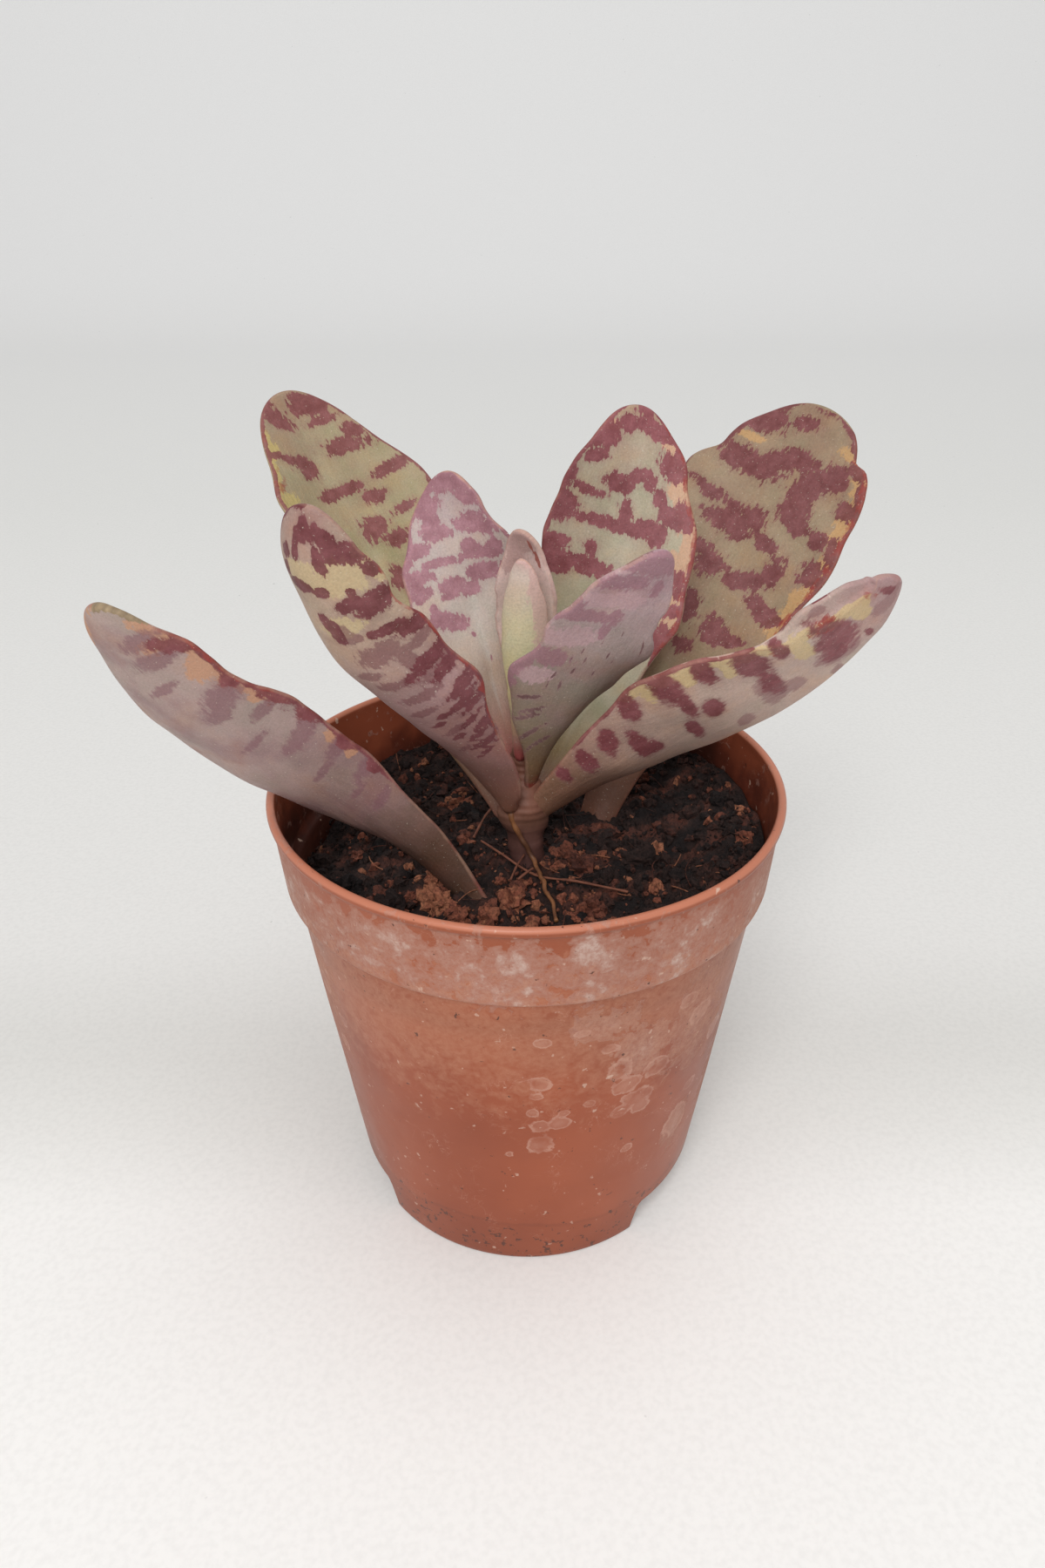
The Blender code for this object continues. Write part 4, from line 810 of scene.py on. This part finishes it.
def makePot():
    # the profile turned about the axis, its foot lifted at the notches, and plates with holes as its floor
    rows = potProfile()
    columns = pot["columns"]
    radius, z = (np.repeat(rows[:, [axis]], columns, axis=1) for axis in range(2))
    degrees = np.tile(np.arange(columns) * 360 / columns, (len(rows), 1))
    lift = potNotch(degrees)
    outer = np.arange(len(rows))[:, None] * np.ones(columns)
    lipRow = int(np.argmax(rows[:, 1]))
    footRow = int(np.argmin(rows[lipRow:, 1])) + lipRow
    underside = pot["floor"] - pot["wall"]
    low = (outer > lipRow) & (z < pot["liftTop"])
    top = np.where(outer <= footRow, pot["liftTop"], underside)
    raised = lift + z * (top - lift) / top
    z = np.where(low & (z < top), raised, z)
    radius = np.where(low & (outer <= footRow) & (lift > 0), bodyRadius(z), radius)
    places = np.concatenate([polar(radius, np.radians(degrees)), z[..., None]], -1)
    bulge = waveNoise(places, 60, 5, 2) * 0.12 * smoothStep(z, 5, 30)
    places[..., :2] *= (1 + bulge / radius)[..., None]
    count = len(rows) * columns
    plate, hole = holedPlate(rows[0, 0], columns)
    holes = np.concatenate([np.column_stack([hole, np.full(len(hole), level)]) for level in rows[[0, -1], 1]])
    points = np.concatenate([places.reshape(-1, 3), holes]) * mm
    upper = np.where(plate < columns, plate, plate - columns + count)
    lower = np.where(plate < columns, plate + count - columns, plate - columns + count + len(hole))
    first = np.arange(len(hole))
    sides = pot["holeSides"]
    following = first + 1 - sides * (first % sides == sides - 1)
    walls = np.stack([first, following, following + len(hole), first + len(hole)], -1) + count
    faces = [gridFaces(len(rows), columns)[:, ::-1], upper, lower[:, ::-1], walls]
    outside = smoothStep(outer, lipRow + 5, lipRow + 7) * (outer <= footRow)

    def packed(values, rest=0):
        return np.concatenate([values.ravel(), np.full(len(holes), rest)])

    crust = np.full(z.shape, -0.5)
    for middle, height, across, tall, strength in deposits:
        away = np.hypot(turnBetween(degrees, middle) / across, (z - height) / tall)
        crust = np.maximum(crust, strength * (1.3 - away))
    crust = np.minimum(crust, 0.85)
    film = 0.5 * np.interp(z, (76, 78.6), (1, 0.45))       # all round the collar, bare under the lip
    crust = np.maximum(crust, film * smoothStep(z, 66.2, 67.0) * smoothStep(80.2 - z, 0, 1.0))
    drop = np.full(z.shape, 9.0)
    for middle, height, across, tall in drops:
        away = np.radians(turnBetween(degrees, middle)) * radius / across
        drop = np.minimum(drop, np.hypot(away, (z - height) / tall))
    lip = smoothStep(outer, lipRow - 7, lipRow - 4) * (1 - outside)
    attributes = {"outside": packed(outside), "crust": packed(crust * outside), "drop": packed(drop, 9),
                  "lip": packed(lip)}
    made = newPiece("pot_shell", points, faces, "pot", "terracotta_plastic", potMaterial(), attributes)
    made.data.set_sharp_from_angle(angle=math.radians(50))


def potMaterial():
    # orange-brown plastic under wavy limescale, dried drops, fine scratches and splashes of soil
    # painted shade under the collar and deep inside, and a painted highlight on the lip
    shader = Shader("pot_plastic", 0.42, 0.3)
    noise, ramp, mix, times, scaled = shader.noise, shader.ramp, shader.mix, shader.times, shader.scaled
    height = shader.axis("Z")
    outside, lip = shader.attribute("outside"), shader.attribute("lip")
    broad = noise(32, 4)
    body = ramp(broad, (0.3, (136, 64, 37)), (0.7, (160, 81, 49)))
    # body darker towards the foot, a thin darker line at 10 mm, and a painted shadow band under the collar,
    # 58.5 to 66 mm
    shade = ramp(scaled(height, 10, scaled(broad, 0.08, -0.04)), (0.0, 0.86), (0.094, 0.92), (0.1, 0.8),
                 (0.106, 0.98), (0.5, 1.0), (0.585, 0.95), (0.615, 0.8), (0.645, 0.86), (0.67, 1.0))
    body = shader.tinted(body, shade)
    # inside wall: painted shade, darker deeper down towards the soil
    inside = ramp(scaled(height, 10, scaled(noise(60, 4), 0.4, -0.2)), (0.66, (70, 36, 28)),
                  (0.72, (104, 50, 36)), (0.78, (150, 78, 54)))
    body = mix(outside, inside, body)
    # lip painted paler than the body: a painted highlight along its rounded rim
    body = mix(times(lip, 0.9), body, (192, 122, 96))
    patch = noise(150, 4, distortion=1.0)
    flakes = noise(520, 3, 0.6, distortion=0.5)
    vary = ramp(times(height, 10), (0.6, 0.45), (0.67, 1.0))
    film = times(scaled(patch, 1.3, scaled(flakes, 1.3, -1.3)), vary)
    film = shader.plus(shader.attribute("crust"), film)
    thick = ramp(film, (0.24, 0), (0.25, 0.46), (0.38, 0.56), (0.39, 0.68), (0.7, 0.74), (0.72, 0.92), (1, 1))
    coarse = ramp(noise(1300, 4, 0.75), (0.36, 0.55), (0.6, 1))
    crust = times(thick, coarse)
    scale = mix(ramp(film, (0.5, 0), (1.0, 1)), (176, 140, 127), (202, 182, 172))
    colour = mix(times(crust, 0.8), body, scale)
    dusty = ramp(scaled(height, 10, scaled(flakes, 0.5, -0.25)), (0.4, 0.0), (0.58, 0.4), (0.66, 0.3),
                 (0.7, 0.1))
    colour = mix(times(times(dusty, outside), coarse), colour, (190, 138, 110))
    edge = shader.plus(shader.attribute("drop"), scaled(noise(360, 5, 0.65), 1.4, -0.7))
    ring = ramp(edge, (0.0, 0.32), (0.65, 0.2), (0.82, 0.55), (0.92, 0.48), (0.97, 0))
    ring = times(ring, ramp(noise(260, 4), (0.36, 0.3), (0.56, 1)))
    colour = mix(times(ring, outside), colour, (196, 152, 134))
    lines = ramp(noise(95, 4, 0.6, distortion=1.2), (0.49, 0), (0.495, 1), (0.5, 0))
    other = ramp(noise(210, 3, distortion=2.0), (0.492, 0), (0.497, 1), (0.502, 0))
    broken = ramp(noise(140, 3), (0.54, 0), (0.64, 1))
    scratch = times(shader.math("MAXIMUM", lines, other), times(broken, 0.45))
    colour = mix(scratch, colour, (206, 160, 140))
    white = ramp(noise(620, 2, 0.5), (0.7, 0), (0.74, 1))
    colour = mix(times(white, scaled(outside, -0.25, 0.75)), colour, (210, 180, 162))
    low = ramp(times(height, 10), (0.0, 0.1), (0.09, 0.08), (0.13, 0.0))
    splash = ramp(shader.math("SUBTRACT", noise(740, 3, 0.6), low), (0.28, 1), (0.31, 0))
    colour = mix(times(splash, 0.8), colour, (70, 40, 30))
    rough = scaled(thick, 0.36, scaled(noise(180, 3), 0.2, 0.26))
    normal = shader.bump(crust, 0.5, 0.0002)
    normal = shader.bump(noise(2600, 2), 0.06, 0.0001, normal)
    return shader.finish(colour, normal, rough)


makePot()
print("pot done")


# Soil: a turned plug with a rough top, crumbs and fibres strewn over it. Millimetres and degrees;
# hollows are (x, y, size, depth).

soil = dict(level=69.0, heap=3.0, heapAngle=35, sink=6.5, sinkAngle=172, sinkSpread=26, wallZone=(24, 37),
            hollows=((1.4, -12.2, 3.0, 1.0), (24.0, -3.0, 8.0, 2.2)), rings=120, columns=300)
strawLine = ((-7.6, -4.4, 70.9), (-4.4, -8.2, 71.0), (1.4, -12.2, 69.3), (8.0, -15.4, 70.2),
             (15.8, -18.6, 70.4))
# crumbs set down one by one: x, y, radius and tone
placedCrumbs = ((-14.2, -20.3, 2.9, .95), (-10.5, -23.5, 2.0, .8), (-2.5, -19.5, 2.2, .85),
                (13.5, 1.5, 2.4, .6), (-14.5, -14.0, 1.9, .9), (-6.0, -24.5, 2.3, .85),
                (9.0, -9.5, 2.4, .55), (-18.5, -18.0, 1.6, .7))
# crumbs strewn at random: count, least and greatest radius, subdivisions of each ball and how far it is sunk
crumbSizes = ((80, 1.2, 2.4, 3, 0.1), (1150, 0.5, 1.2, 2, 0.25), (2600, 0.2, 0.5, 1, 0.6))
fibreCount = 150


def soilHeight(x, y):
    # level, plus lumps, a heap and a sunk edge beside the wall, and small hollows
    radius = np.hypot(x, y)
    degrees = np.degrees(np.arctan2(y, x))
    nearWall = smoothStep(radius, *soil["wallZone"])
    lumps = waveNoise(np.stack([x, y], -1), 14, 21, 2)
    heap = np.maximum(np.cos(np.radians(turnBetween(degrees, soil["heapAngle"]))), 0) * nearWall
    sink = np.exp(-(turnBetween(degrees, soil["sinkAngle"]) / soil["sinkSpread"]) ** 2) * nearWall
    height = soil["level"] + 0.5 * lumps + soil["heap"] * heap - soil["sink"] * sink
    for hollowX, hollowY, size, depth in soil["hollows"]:
        height = height - depth * np.exp(-((x - hollowX) ** 2 + (y - hollowY) ** 2) / size ** 2)
    return height


def soilLimit(z):
    # the pot's inside a little lower than z, less a small gap, from radii at its floor, step and lip
    floorRadius = bodyRadius(pot["floor"]) - pot["wall"]
    heights = (pot["floor"], pot["floor"] + 0.5, 65.8, 66.7, 67.6, 81)
    radii = (floorRadius - 0.5, floorRadius, 38.6, 39.1, 40.15, 41.1)
    return np.interp(z - 0.9, heights, radii) - 0.3


def makeSoil():
    # rings out to the pot's wall, rough on top and smooth where they touch it, then a skirt down to the floor
    rings, columns = soil["rings"], soil["columns"]
    share = (np.arange(rings) + 1) / rings
    angle = np.arange(columns) * math.tau / columns
    edge = soilLimit(soilHeight(39 * np.cos(angle), 39 * np.sin(angle)))
    flat = polar(share[:, None] * edge, angle)
    rough = 0.42 * waveNoise(flat, 4.2, 31, 3) - 0.5 * np.abs(waveNoise(flat, 2.6, 32, 3)) + 0.25
    z = soilHeight(flat[..., 0], flat[..., 1]) + rough * smoothStep(1 - share[:, None], 0, 0.03)
    bottom = pot["floor"] + 0.3
    levels = [z[-1] * (1 - drop) + (bottom + 0.5) * drop for drop in (0.12, 0.4, 0.75, 1.0)]
    levels.append(0 * angle + bottom)
    reaches = [soilLimit(level) for level in levels]
    reaches[-1] -= 0.5
    flat = np.concatenate([flat, polar(np.array(reaches), angle)])
    places = np.concatenate([flat, np.concatenate([z, levels])[..., None]], -1)
    count = len(places) * columns
    ends = [(0, 0, float(soilHeight(0.0, 0.0))), (0, 0, bottom)]
    points = np.concatenate([places.reshape(-1, 3), ends]) * mm
    ring = np.arange(columns)
    faces = [gridFaces(len(places), columns)[:, ::-1], fanFaces(ring, count, True),
             fanFaces(ring + count - columns, count + 1, False)]
    tone = 0.25 + 0.2 * waveNoise(points[:, :2] / mm, 9, 33, 2)
    newPiece("soil_body", points, faces, "soil", "potting_soil", soilMaterial("soil_body"), {"tone": tone})


def ballTemplate(subdivisions):
    # vertices and triangles of a ball of radius 1
    bpy.ops.mesh.primitive_ico_sphere_add(subdivisions=subdivisions, radius=1)
    ball = bpy.context.object
    places = np.zeros(len(ball.data.vertices) * 3, np.float32)
    ball.data.vertices.foreach_get("co", places)
    corners = np.zeros(len(ball.data.polygons) * 3, np.int32)
    ball.data.polygons.foreach_get("vertices", corners)
    bpy.data.objects.remove(ball)
    return places.reshape(-1, 3), corners.reshape(-1, 3)


def spinMatrices(source, count):
    # random turns, from unit quaternions
    turns = source.normal(size=(4, count)) + 1e-9
    w, x, y, z = turns / np.linalg.norm(turns, axis=0)
    return np.stack([1 - 2 * (y * y + z * z), 2 * (x * y - w * z), 2 * (x * z + w * y),
                     2 * (x * y + w * z), 1 - 2 * (x * x + z * z), 2 * (y * z - w * x),
                     2 * (x * z - w * y), 2 * (y * z + w * x), 1 - 2 * (x * x + y * y)], -1).reshape(-1, 3, 3)


def crumbCloud(source, x, y, radii, tones, subdivisions, sunk):
    # each crumb is a ball whose radius is shaken by sines of its own, squashed, turned and set down
    ball, corners = ballTemplate(subdivisions)
    count = len(x)
    waves = source.normal(0, 1, (count, 8, 3)) * source.uniform(1.5, 3 + 2 * subdivisions, (count, 8, 1))
    phases = source.uniform(0, math.tau, (count, 8, 1))
    shake = 1 + 0.13 * np.sin(np.einsum("nkc,vc->nkv", waves, ball) + phases).sum(1)
    squash = source.uniform(0.6, 1.15, (count, 1, 3))
    shapes = ball[None] * shake[..., None] * squash * radii[:, None, None]
    shapes = np.einsum("nij,nvj->nvi", spinMatrices(source, count), shapes)
    z = soilHeight(x, y) + radii * sunk
    shapes += np.stack([x, y, z], -1)[:, None]
    faces = corners[None] + (np.arange(count) * len(ball))[:, None, None]
    return shapes.reshape(-1, 3), faces.reshape(-1, 3), np.repeat(tones, len(ball))


def clearOf(x, y, radii, lines):
    # true where a crumb keeps off a line given as points and a reach
    clear = np.ones(len(x), bool)
    for line, reach in lines:
        for (x0, y0), (x1, y1) in zip(line, line[1:]):
            length = (x1 - x0) ** 2 + (y1 - y0) ** 2 + 1e-9
            share = np.clip(((x - x0) * (x1 - x0) + (y - y0) * (y1 - y0)) / length, 0, 1)
            clear &= np.hypot(x - x0 - share * (x1 - x0), y - y0 - share * (y1 - y0)) > reach + 0.8 * radii
    return clear


def scatter(source, count, reach, lines, radii):
    # random places on a disc, kept off the stalks and the straws
    radius = reach * np.sqrt(source.uniform(0, 1, count))
    angle = source.uniform(0, math.tau, count)
    x, y = radius * np.cos(angle), radius * np.sin(angle)
    keep = clearOf(x, y, radii, lines) & (radius + radii < 40)
    return x[keep], y[keep], radii[keep]


def brownnessAndShade(x, y):
    # reddish-brown grit in front of the stem, dark peat elsewhere, partly painted shade under the leaves
    near = np.exp(-((x + 4) / 17) ** 4 - ((y + 17) / 14) ** 4)
    return 0.09 + 0.74 * near + 0.22 * np.exp(-((x + 20) ** 2 + (y - 8) ** 2) / 120)


def makeCrumbs():
    # grit and crumbs strewn by size, the larger ones clear of the stalks, the root and the straw
    source = np.random.default_rng(77)
    stalks = [([(0.1, -6.8), (0.1, -6.7)], 3.0), ([(-8.6, -17.1), (-9, -17)], 3.6),
              ([(13, 7.7), (13.2, 7.9)], 3.8)]
    straws = [([(1, -10.4), (1.9, -13.4), (3, -17.6), (4, -21.6), (4.6, -25.4)], 0.7),
              ([place[:2] for place in strawLine], 0.6)]
    groups = []
    for count, low, high, subdivisions, sunk in crumbSizes:
        radii = low + (high - low) * source.uniform(0, 1, count) ** 1.8
        lines = stalks + straws if subdivisions > 1 else stalks
        x, y, radii = scatter(source, count, 39.4, lines, radii)
        brown = source.uniform(0, 1, len(x)) < brownnessAndShade(x, y)
        tones = np.where(brown, source.uniform(0.55, 1, len(x)), source.uniform(0, 0.4, len(x)))
        groups.append(crumbCloud(source, x, y, radii, tones, subdivisions, sunk))
    groups.append(crumbCloud(source, *np.transpose(placedCrumbs), 3, 0.15))
    crumbs = joinedPiece("soil_crumbs", groups, None, "potting_soil", soilMaterial("soil_crumbs"))
    crumbs.data.shade_flat()


def joinedPiece(name, groups, node, slot, material):
    # one piece from several parts, each given as points in millimetres, triangles and, if it has them, tones
    points, faces, *tones = zip(*groups)
    starts = np.cumsum([0] + [len(part) for part in points])
    faces = [np.concatenate([part + start for part, start in zip(faces, starts)])]
    attributes = {"tone": np.concatenate(tones[0])} if tones else None
    return newPiece(name, np.concatenate(points) * mm, faces, node, slot, material, attributes)


def soilMaterial(name):
    # tone runs from black peat through dark brown to reddish grit, with painted shade in the pits
    shader = Shader(name, 0.75, 0.3)
    tone = shader.plus(shader.attribute("tone"), shader.scaled(shader.noise(700, 4), 0.6, -0.3))
    colour = shader.ramp(tone, (0, (24, 16, 16)), (0.3, (48, 31, 27)), (0.55, (86, 48, 38)),
                         (0.8, (126, 72, 54)), (1, (152, 98, 72)))
    reliefAndPaintedShade = shader.noise(1700, 4, 0.7)
    # painted shade where this relief is low and painted highlights where it is high
    colour = shader.tinted(colour, shader.ramp(reliefAndPaintedShade, (0.32, 0.35), (0.5, 1), (0.72, 1.5)))
    return shader.finish(colour, shader.bump(reliefAndPaintedShade, 1.0, 0.0006))


def tube(path, radii, sides):
    # rings across a smooth path, each turned into the plane normal to it, closed by a point at each end
    path = np.asarray(path, float)
    forward = np.gradient(path, axis=0)
    forward /= np.linalg.norm(forward, axis=1, keepdims=True)
    across = []
    side = np.cross(forward[0], (0.3, 0.2, 0.93) if abs(forward[0][2]) < 0.9 else (1, 0, 0.1))
    for direction in forward:
        side = side - direction * (side @ direction)
        side = side / np.linalg.norm(side)
        across.append((side, np.cross(direction, side)))
    turn = np.arange(sides) * math.tau / sides
    side, other = (np.array(vectors) for vectors in zip(*across))
    if np.ndim(radii) == 1:                # one radius for each ring
        radii = radii[:, None]
    radii = np.broadcast_to(radii, (len(path), sides))[..., None]
    outward = side[:, None] * np.cos(turn)[:, None] + other[:, None] * np.sin(turn)[:, None]
    rings = path[:, None] + radii * outward
    count = len(path) * sides
    points = np.concatenate([rings.reshape(-1, 3), path[:1], path[-1:]])
    ring = np.arange(sides)
    quads = gridFaces(len(path), sides)
    faces = np.concatenate([quads[:, [0, 1, 2]], quads[:, [0, 2, 3]], fanFaces(ring, count, False),
                            fanFaces(ring + count - sides, count + 1, True)])
    return points, faces


def smoothPath(points, count):
    # Catmull-Rom curve through the points, evenly counted
    points = np.asarray(points, float)
    ends = np.concatenate([[2 * points[0] - points[1]], points, [2 * points[-1] - points[-2]]])
    place = np.linspace(0, len(points) - 1, count)
    cell = np.minimum(place.astype(int), len(points) - 2)
    t = (place - cell)[:, None]
    a, b, c, d = (ends[cell + i] for i in range(4))
    square, cube = 2 * a - 5 * b + 4 * c - d, 3 * b - a - 3 * c + d
    return 0.5 * (2 * b + (c - a) * t + square * t ** 2 + cube * t ** 3)


def makeFibres():
    # hair-thin roots and peat fibres that lie on the soil, each a slightly bent line
    source = np.random.default_rng(19)
    groups = []
    for _ in range(fibreCount):
        radius = 36 * math.sqrt(source.uniform())
        angle, heading = source.uniform(0, math.tau, 2)
        length = source.uniform(2, 9)
        steps = np.linspace(-0.5, 0.5, 9)
        bow = source.normal(0, 0.25) * length * (0.25 - steps ** 2)
        x = radius * math.cos(angle) + length * steps * math.cos(heading) - bow * math.sin(heading)
        y = radius * math.sin(angle) + length * steps * math.sin(heading) + bow * math.cos(heading)
        inside = np.minimum(1, 38.6 / np.maximum(np.hypot(x, y), 1))
        x, y = x * inside, y * inside
        z = soilHeight(x, y) + 0.75 + source.normal(0, 0.3) + source.normal(0, 1.2) * steps
        points, faces = tube(np.stack([x, y, z], -1), source.uniform(0.05, 0.11), 5)
        tone = 1.0 if source.uniform() < 0.3 else source.uniform(0.1, 0.6)
        groups.append((points, faces, np.full(len(points), tone)))
    joinedPiece("soil_fibres", groups, None, "potting_soil", soilMaterial("soil_fibres"))


makeSoil()
makeCrumbs()
makeFibres()
print("soil done")


# Stem with the bud that it ends in, its dry root, and the straws

# swellings where leaves join the stem: direction, height, spread and size; knots round it have no direction
stemKnots = ((78.4, 2.6, 0.4), (75.4, 0.7, 0.2), (82.6, 1.4, 0.3), (72.0, 0.5, 0.18))
stemBulges = ((228, 77.8, 2.4, 1.0), (-12, 76.6, 2.6, 0.9), (150, 76.5, 2.4, 0.8), (-60, 80.5, 2.4, 0.9))
rootLine = ((-1.6, -7.0, 79.5), (-2.4, -8.7, 78.6), (-1.7, -9.3, 76.6), (-0.2, -9.6, 73.6),
            (0.8, -10.4, 71.2), (1.9, -13.4, 70.6), (3.0, -17.6, 70.6), (4.0, -21.6, 70.5),
            (4.6, -25.4, 70.3))
# straws as (line, radius)
strawShapes = ((strawLine, 0.2), (((-5.3, 7.3, 71.2), (-7.2, 2.0, 71.6), (-8.9, -2.9, 70.6)), 0.24),
               (((-0.4, -9.6, 71.5), (-1.6, -12.6, 71.3), (-2.6, -15.5, 70.6)), 0.2),
               (((1.0, -13.1, 71.2), (-0.2, -14.2, 71.0), (-1.4, -15.3, 70.6)), 0.2))


def stemMaterial():
    # brown-mauve skin for the stem, tone 0, and dry yellow-brown for the root, tone 1, dark under its bend
    shader = Shader("stem_skin", 0.55, 0.35)
    noise = shader.noise(420, 4, 0.6, stretch=(1, 1, 0.45))
    height = shader.scaled(shader.axis("Z"), 100, -7.0)
    # the stem's skin, darker towards the soil: partly its own colour, partly painted shade under the leaves
    skinWithPaintedShade = shader.ramp(height, (0.0, (78, 50, 46)), (0.5, (96, 64, 56)), (0.75, (106, 72, 58)),
                        (1.0, (130, 86, 70)))
    skin = shader.tinted(skinWithPaintedShade, shader.ramp(noise, (0.3, 0.8), (0.7, 1.15)))
    dry = shader.ramp(noise, (0.3, (84, 50, 34)), (0.7, (142, 94, 58)))
    dark = shader.ramp(height, (0.12, 0), (0.2, 0.75), (0.4, 0.6), (0.6, 0))
    dry = shader.mix(dark, dry, (62, 38, 28))
    return shader.finish(shader.mix(shader.attribute("tone"), skin, dry), shader.bump(noise, 0.5, 0.0004))


def makeStem():
    # a tube swollen at its knots and where leaves join it, and a thin wobbling one for the root
    line = smoothPath(stemLine, 110)
    sides = 40
    turn = np.arange(sides) * math.tau / sides
    height = line[:, 2:3]
    knots = sum(size * np.exp(-((height - level - 0.3 * np.sin(turn + level)) / spread) ** 2)
                for level, spread, size in stemKnots)
    radii = line[:, 3:4] + knots + 0.12 * np.sin(3 * turn + height) + 0.07 * np.sin(height * 5 + turn)
    points, faces = tube(line[:, :3], radii, sides)
    for degrees, level, spread, size in stemBulges:
        toward = np.array((math.cos(math.radians(degrees)), math.sin(math.radians(degrees)), 0))
        axis = np.stack([np.interp(points[:, 2], line[:, 2], line[:, i]) for i in range(3)], -1)
        outward = (points - axis) * (1, 1, 0)
        outward /= np.linalg.norm(outward, axis=1, keepdims=True) + 1e-6
        facing = np.clip(outward @ toward, 0, 1) ** 1.5
        points = points + outward * (size * facing * np.exp(-((points[:, 2] - level) / spread) ** 2))[:, None]
    groups = [(points, faces, np.zeros(len(points)))]
    path = smoothPath(rootLine, 90)
    wobble = np.stack([waveNoise(path, 5, seed, 2) for seed in (1, 2, 3)], -1) * 0.22
    thick = np.interp(np.linspace(0, 1, 90), (0, 0.08, 0.2, 0.5, 1), (0.8, 0.6, 0.42, 0.38, 0.28))
    points, faces = tube(path + wobble, thick * (1 + 0.12 * waveNoise(path, 2, 4, 2)), 12)
    groups.append((points, faces, np.ones(len(points))))
    joinedPiece("stem_and_root", groups, "stem", "stem_skin", stemMaterial())


def makeStraws():
    # thin tubes whose radius wavers along them
    groups = []
    for line, radius in strawShapes:
        path = smoothPath(line, 60)
        groups.append(tube(path, radius * (1 + 0.18 * waveNoise(path, 3, 9, 2)), 10))
    shader = Shader("dry_straw", 0.7, 0.3)
    noise = shader.noise(500, 4, 0.6)
    colour = shader.ramp(noise, (0.3, (82, 46, 36)), (0.7, (134, 84, 64)))
    material = shader.finish(colour, shader.bump(noise, 0.5, 0.0003))
    joinedPiece("straws", groups, "straw", "dry_straw", material)


makeStem()
makeStraws()
print("stem done")


# Floor, light and camera

def makeStage():
    # floor that curves up behind the part: a profile in y and z, drawn out along x
    turn = np.linspace(0, math.pi / 2, 24)
    y = np.concatenate([[-3, -1, -0.3, 0.3], 1.2 + 0.8 * np.sin(turn), [2.0]])
    z = np.concatenate([[0, 0, 0, 0], 0.8 - 0.8 * np.cos(turn), [3]]) - 0.0002
    x = np.linspace(-3, 3, 13)
    grid = np.stack(np.broadcast_arrays(x, y[:, None], z[:, None]), -1)
    shader = Shader("floor", 0.75, 0.2)
    far = shader.scaled(shader.axis("Y"), 0.4, 0.2)
    # painted light and shade: lighter in front, a painted shadow band beside the pot (y 0 to 0.06 m), lighter
    # behind
    paintedFloorShading = shader.ramp(far, (0.17, (244, 243, 241)), (0.18, (242, 241, 239)), (0.191, (241, 240, 238)),
                        (0.2, (226, 225, 222)), (0.209, (216, 215, 212)), (0.224, (226, 225, 223)),
                        (0.4, (224, 224, 222)), (0.8, (236, 236, 236)))
    grain = shader.ramp(shader.noise(900, 2), (0.3, 0.95), (0.6, 1))
    speck = shader.ramp(shader.noise(260, 2, 0.6), (0.2, 0.55), (0.235, 1))
    material = shader.finish(shader.tinted(shader.tinted(paintedFloorShading, grain), speck))
    faces = [gridFaces(len(y), len(x), closed=False)]
    floor = newPiece("floor", grid.reshape(-1, 3), faces, None, None, material)


def addLamp(name, place, size, power):
    # a round soft lamp that looks at the part
    lamp = bpy.data.lights.new(name, "AREA")
    lamp.shape = "DISK"
    lamp.size = size
    lamp.energy = power
    made = bpy.data.objects.new(name, lamp)
    made.location = place
    made.rotation_mode = "QUATERNION"
    made.rotation_quaternion = (Vector((0, 0, 0.07)) - Vector(place)).to_track_quat("-Z", "Y")
    bpy.context.scene.collection.objects.link(made)


def makeLight():
    # pale room with a large soft window above the camera and a weak ceiling
    world = bpy.data.worlds.new("room")
    world.use_nodes = True
    background = world.node_tree.nodes["Background"].inputs
    background["Color"].default_value = (1, 0.995, 0.98, 1)
    background["Strength"].default_value = 0.46
    bpy.context.scene.world = world
    addLamp("window", (-0.4, -2.1, 2.3), 1.7, 60)
    addLamp("ceiling", (0.4, -0.1, 2.8), 1.8, 12)


def makeCamera():
    # where the photo was taken from: pitched down and rolled a little
    place = (-0.0006, -0.152, 0.1659)
    pitch, roll = math.radians(29.67), math.radians(-0.33)
    up = Vector((0, math.sin(pitch), math.cos(pitch)))
    right = Vector((1, 0, 0)) * math.cos(roll) + up * math.sin(roll)
    up = up * math.cos(roll) - Vector((1, 0, 0)) * math.sin(roll)
    camera = bpy.data.cameras.new("camera")
    camera.lens = 24
    camera.sensor_width = 36
    camera.clip_start = 0.01
    made = bpy.data.objects.new("camera", camera)
    turned = Matrix((right, up, right.cross(up))).transposed().to_4x4()
    made.matrix_world = Matrix.Translation(place) @ turned
    bpy.context.scene.collection.objects.link(made)
    bpy.context.scene.camera = made


makeStage()
makeLight()
makeCamera()
bpy.context.scene.view_settings.view_transform = "Standard"
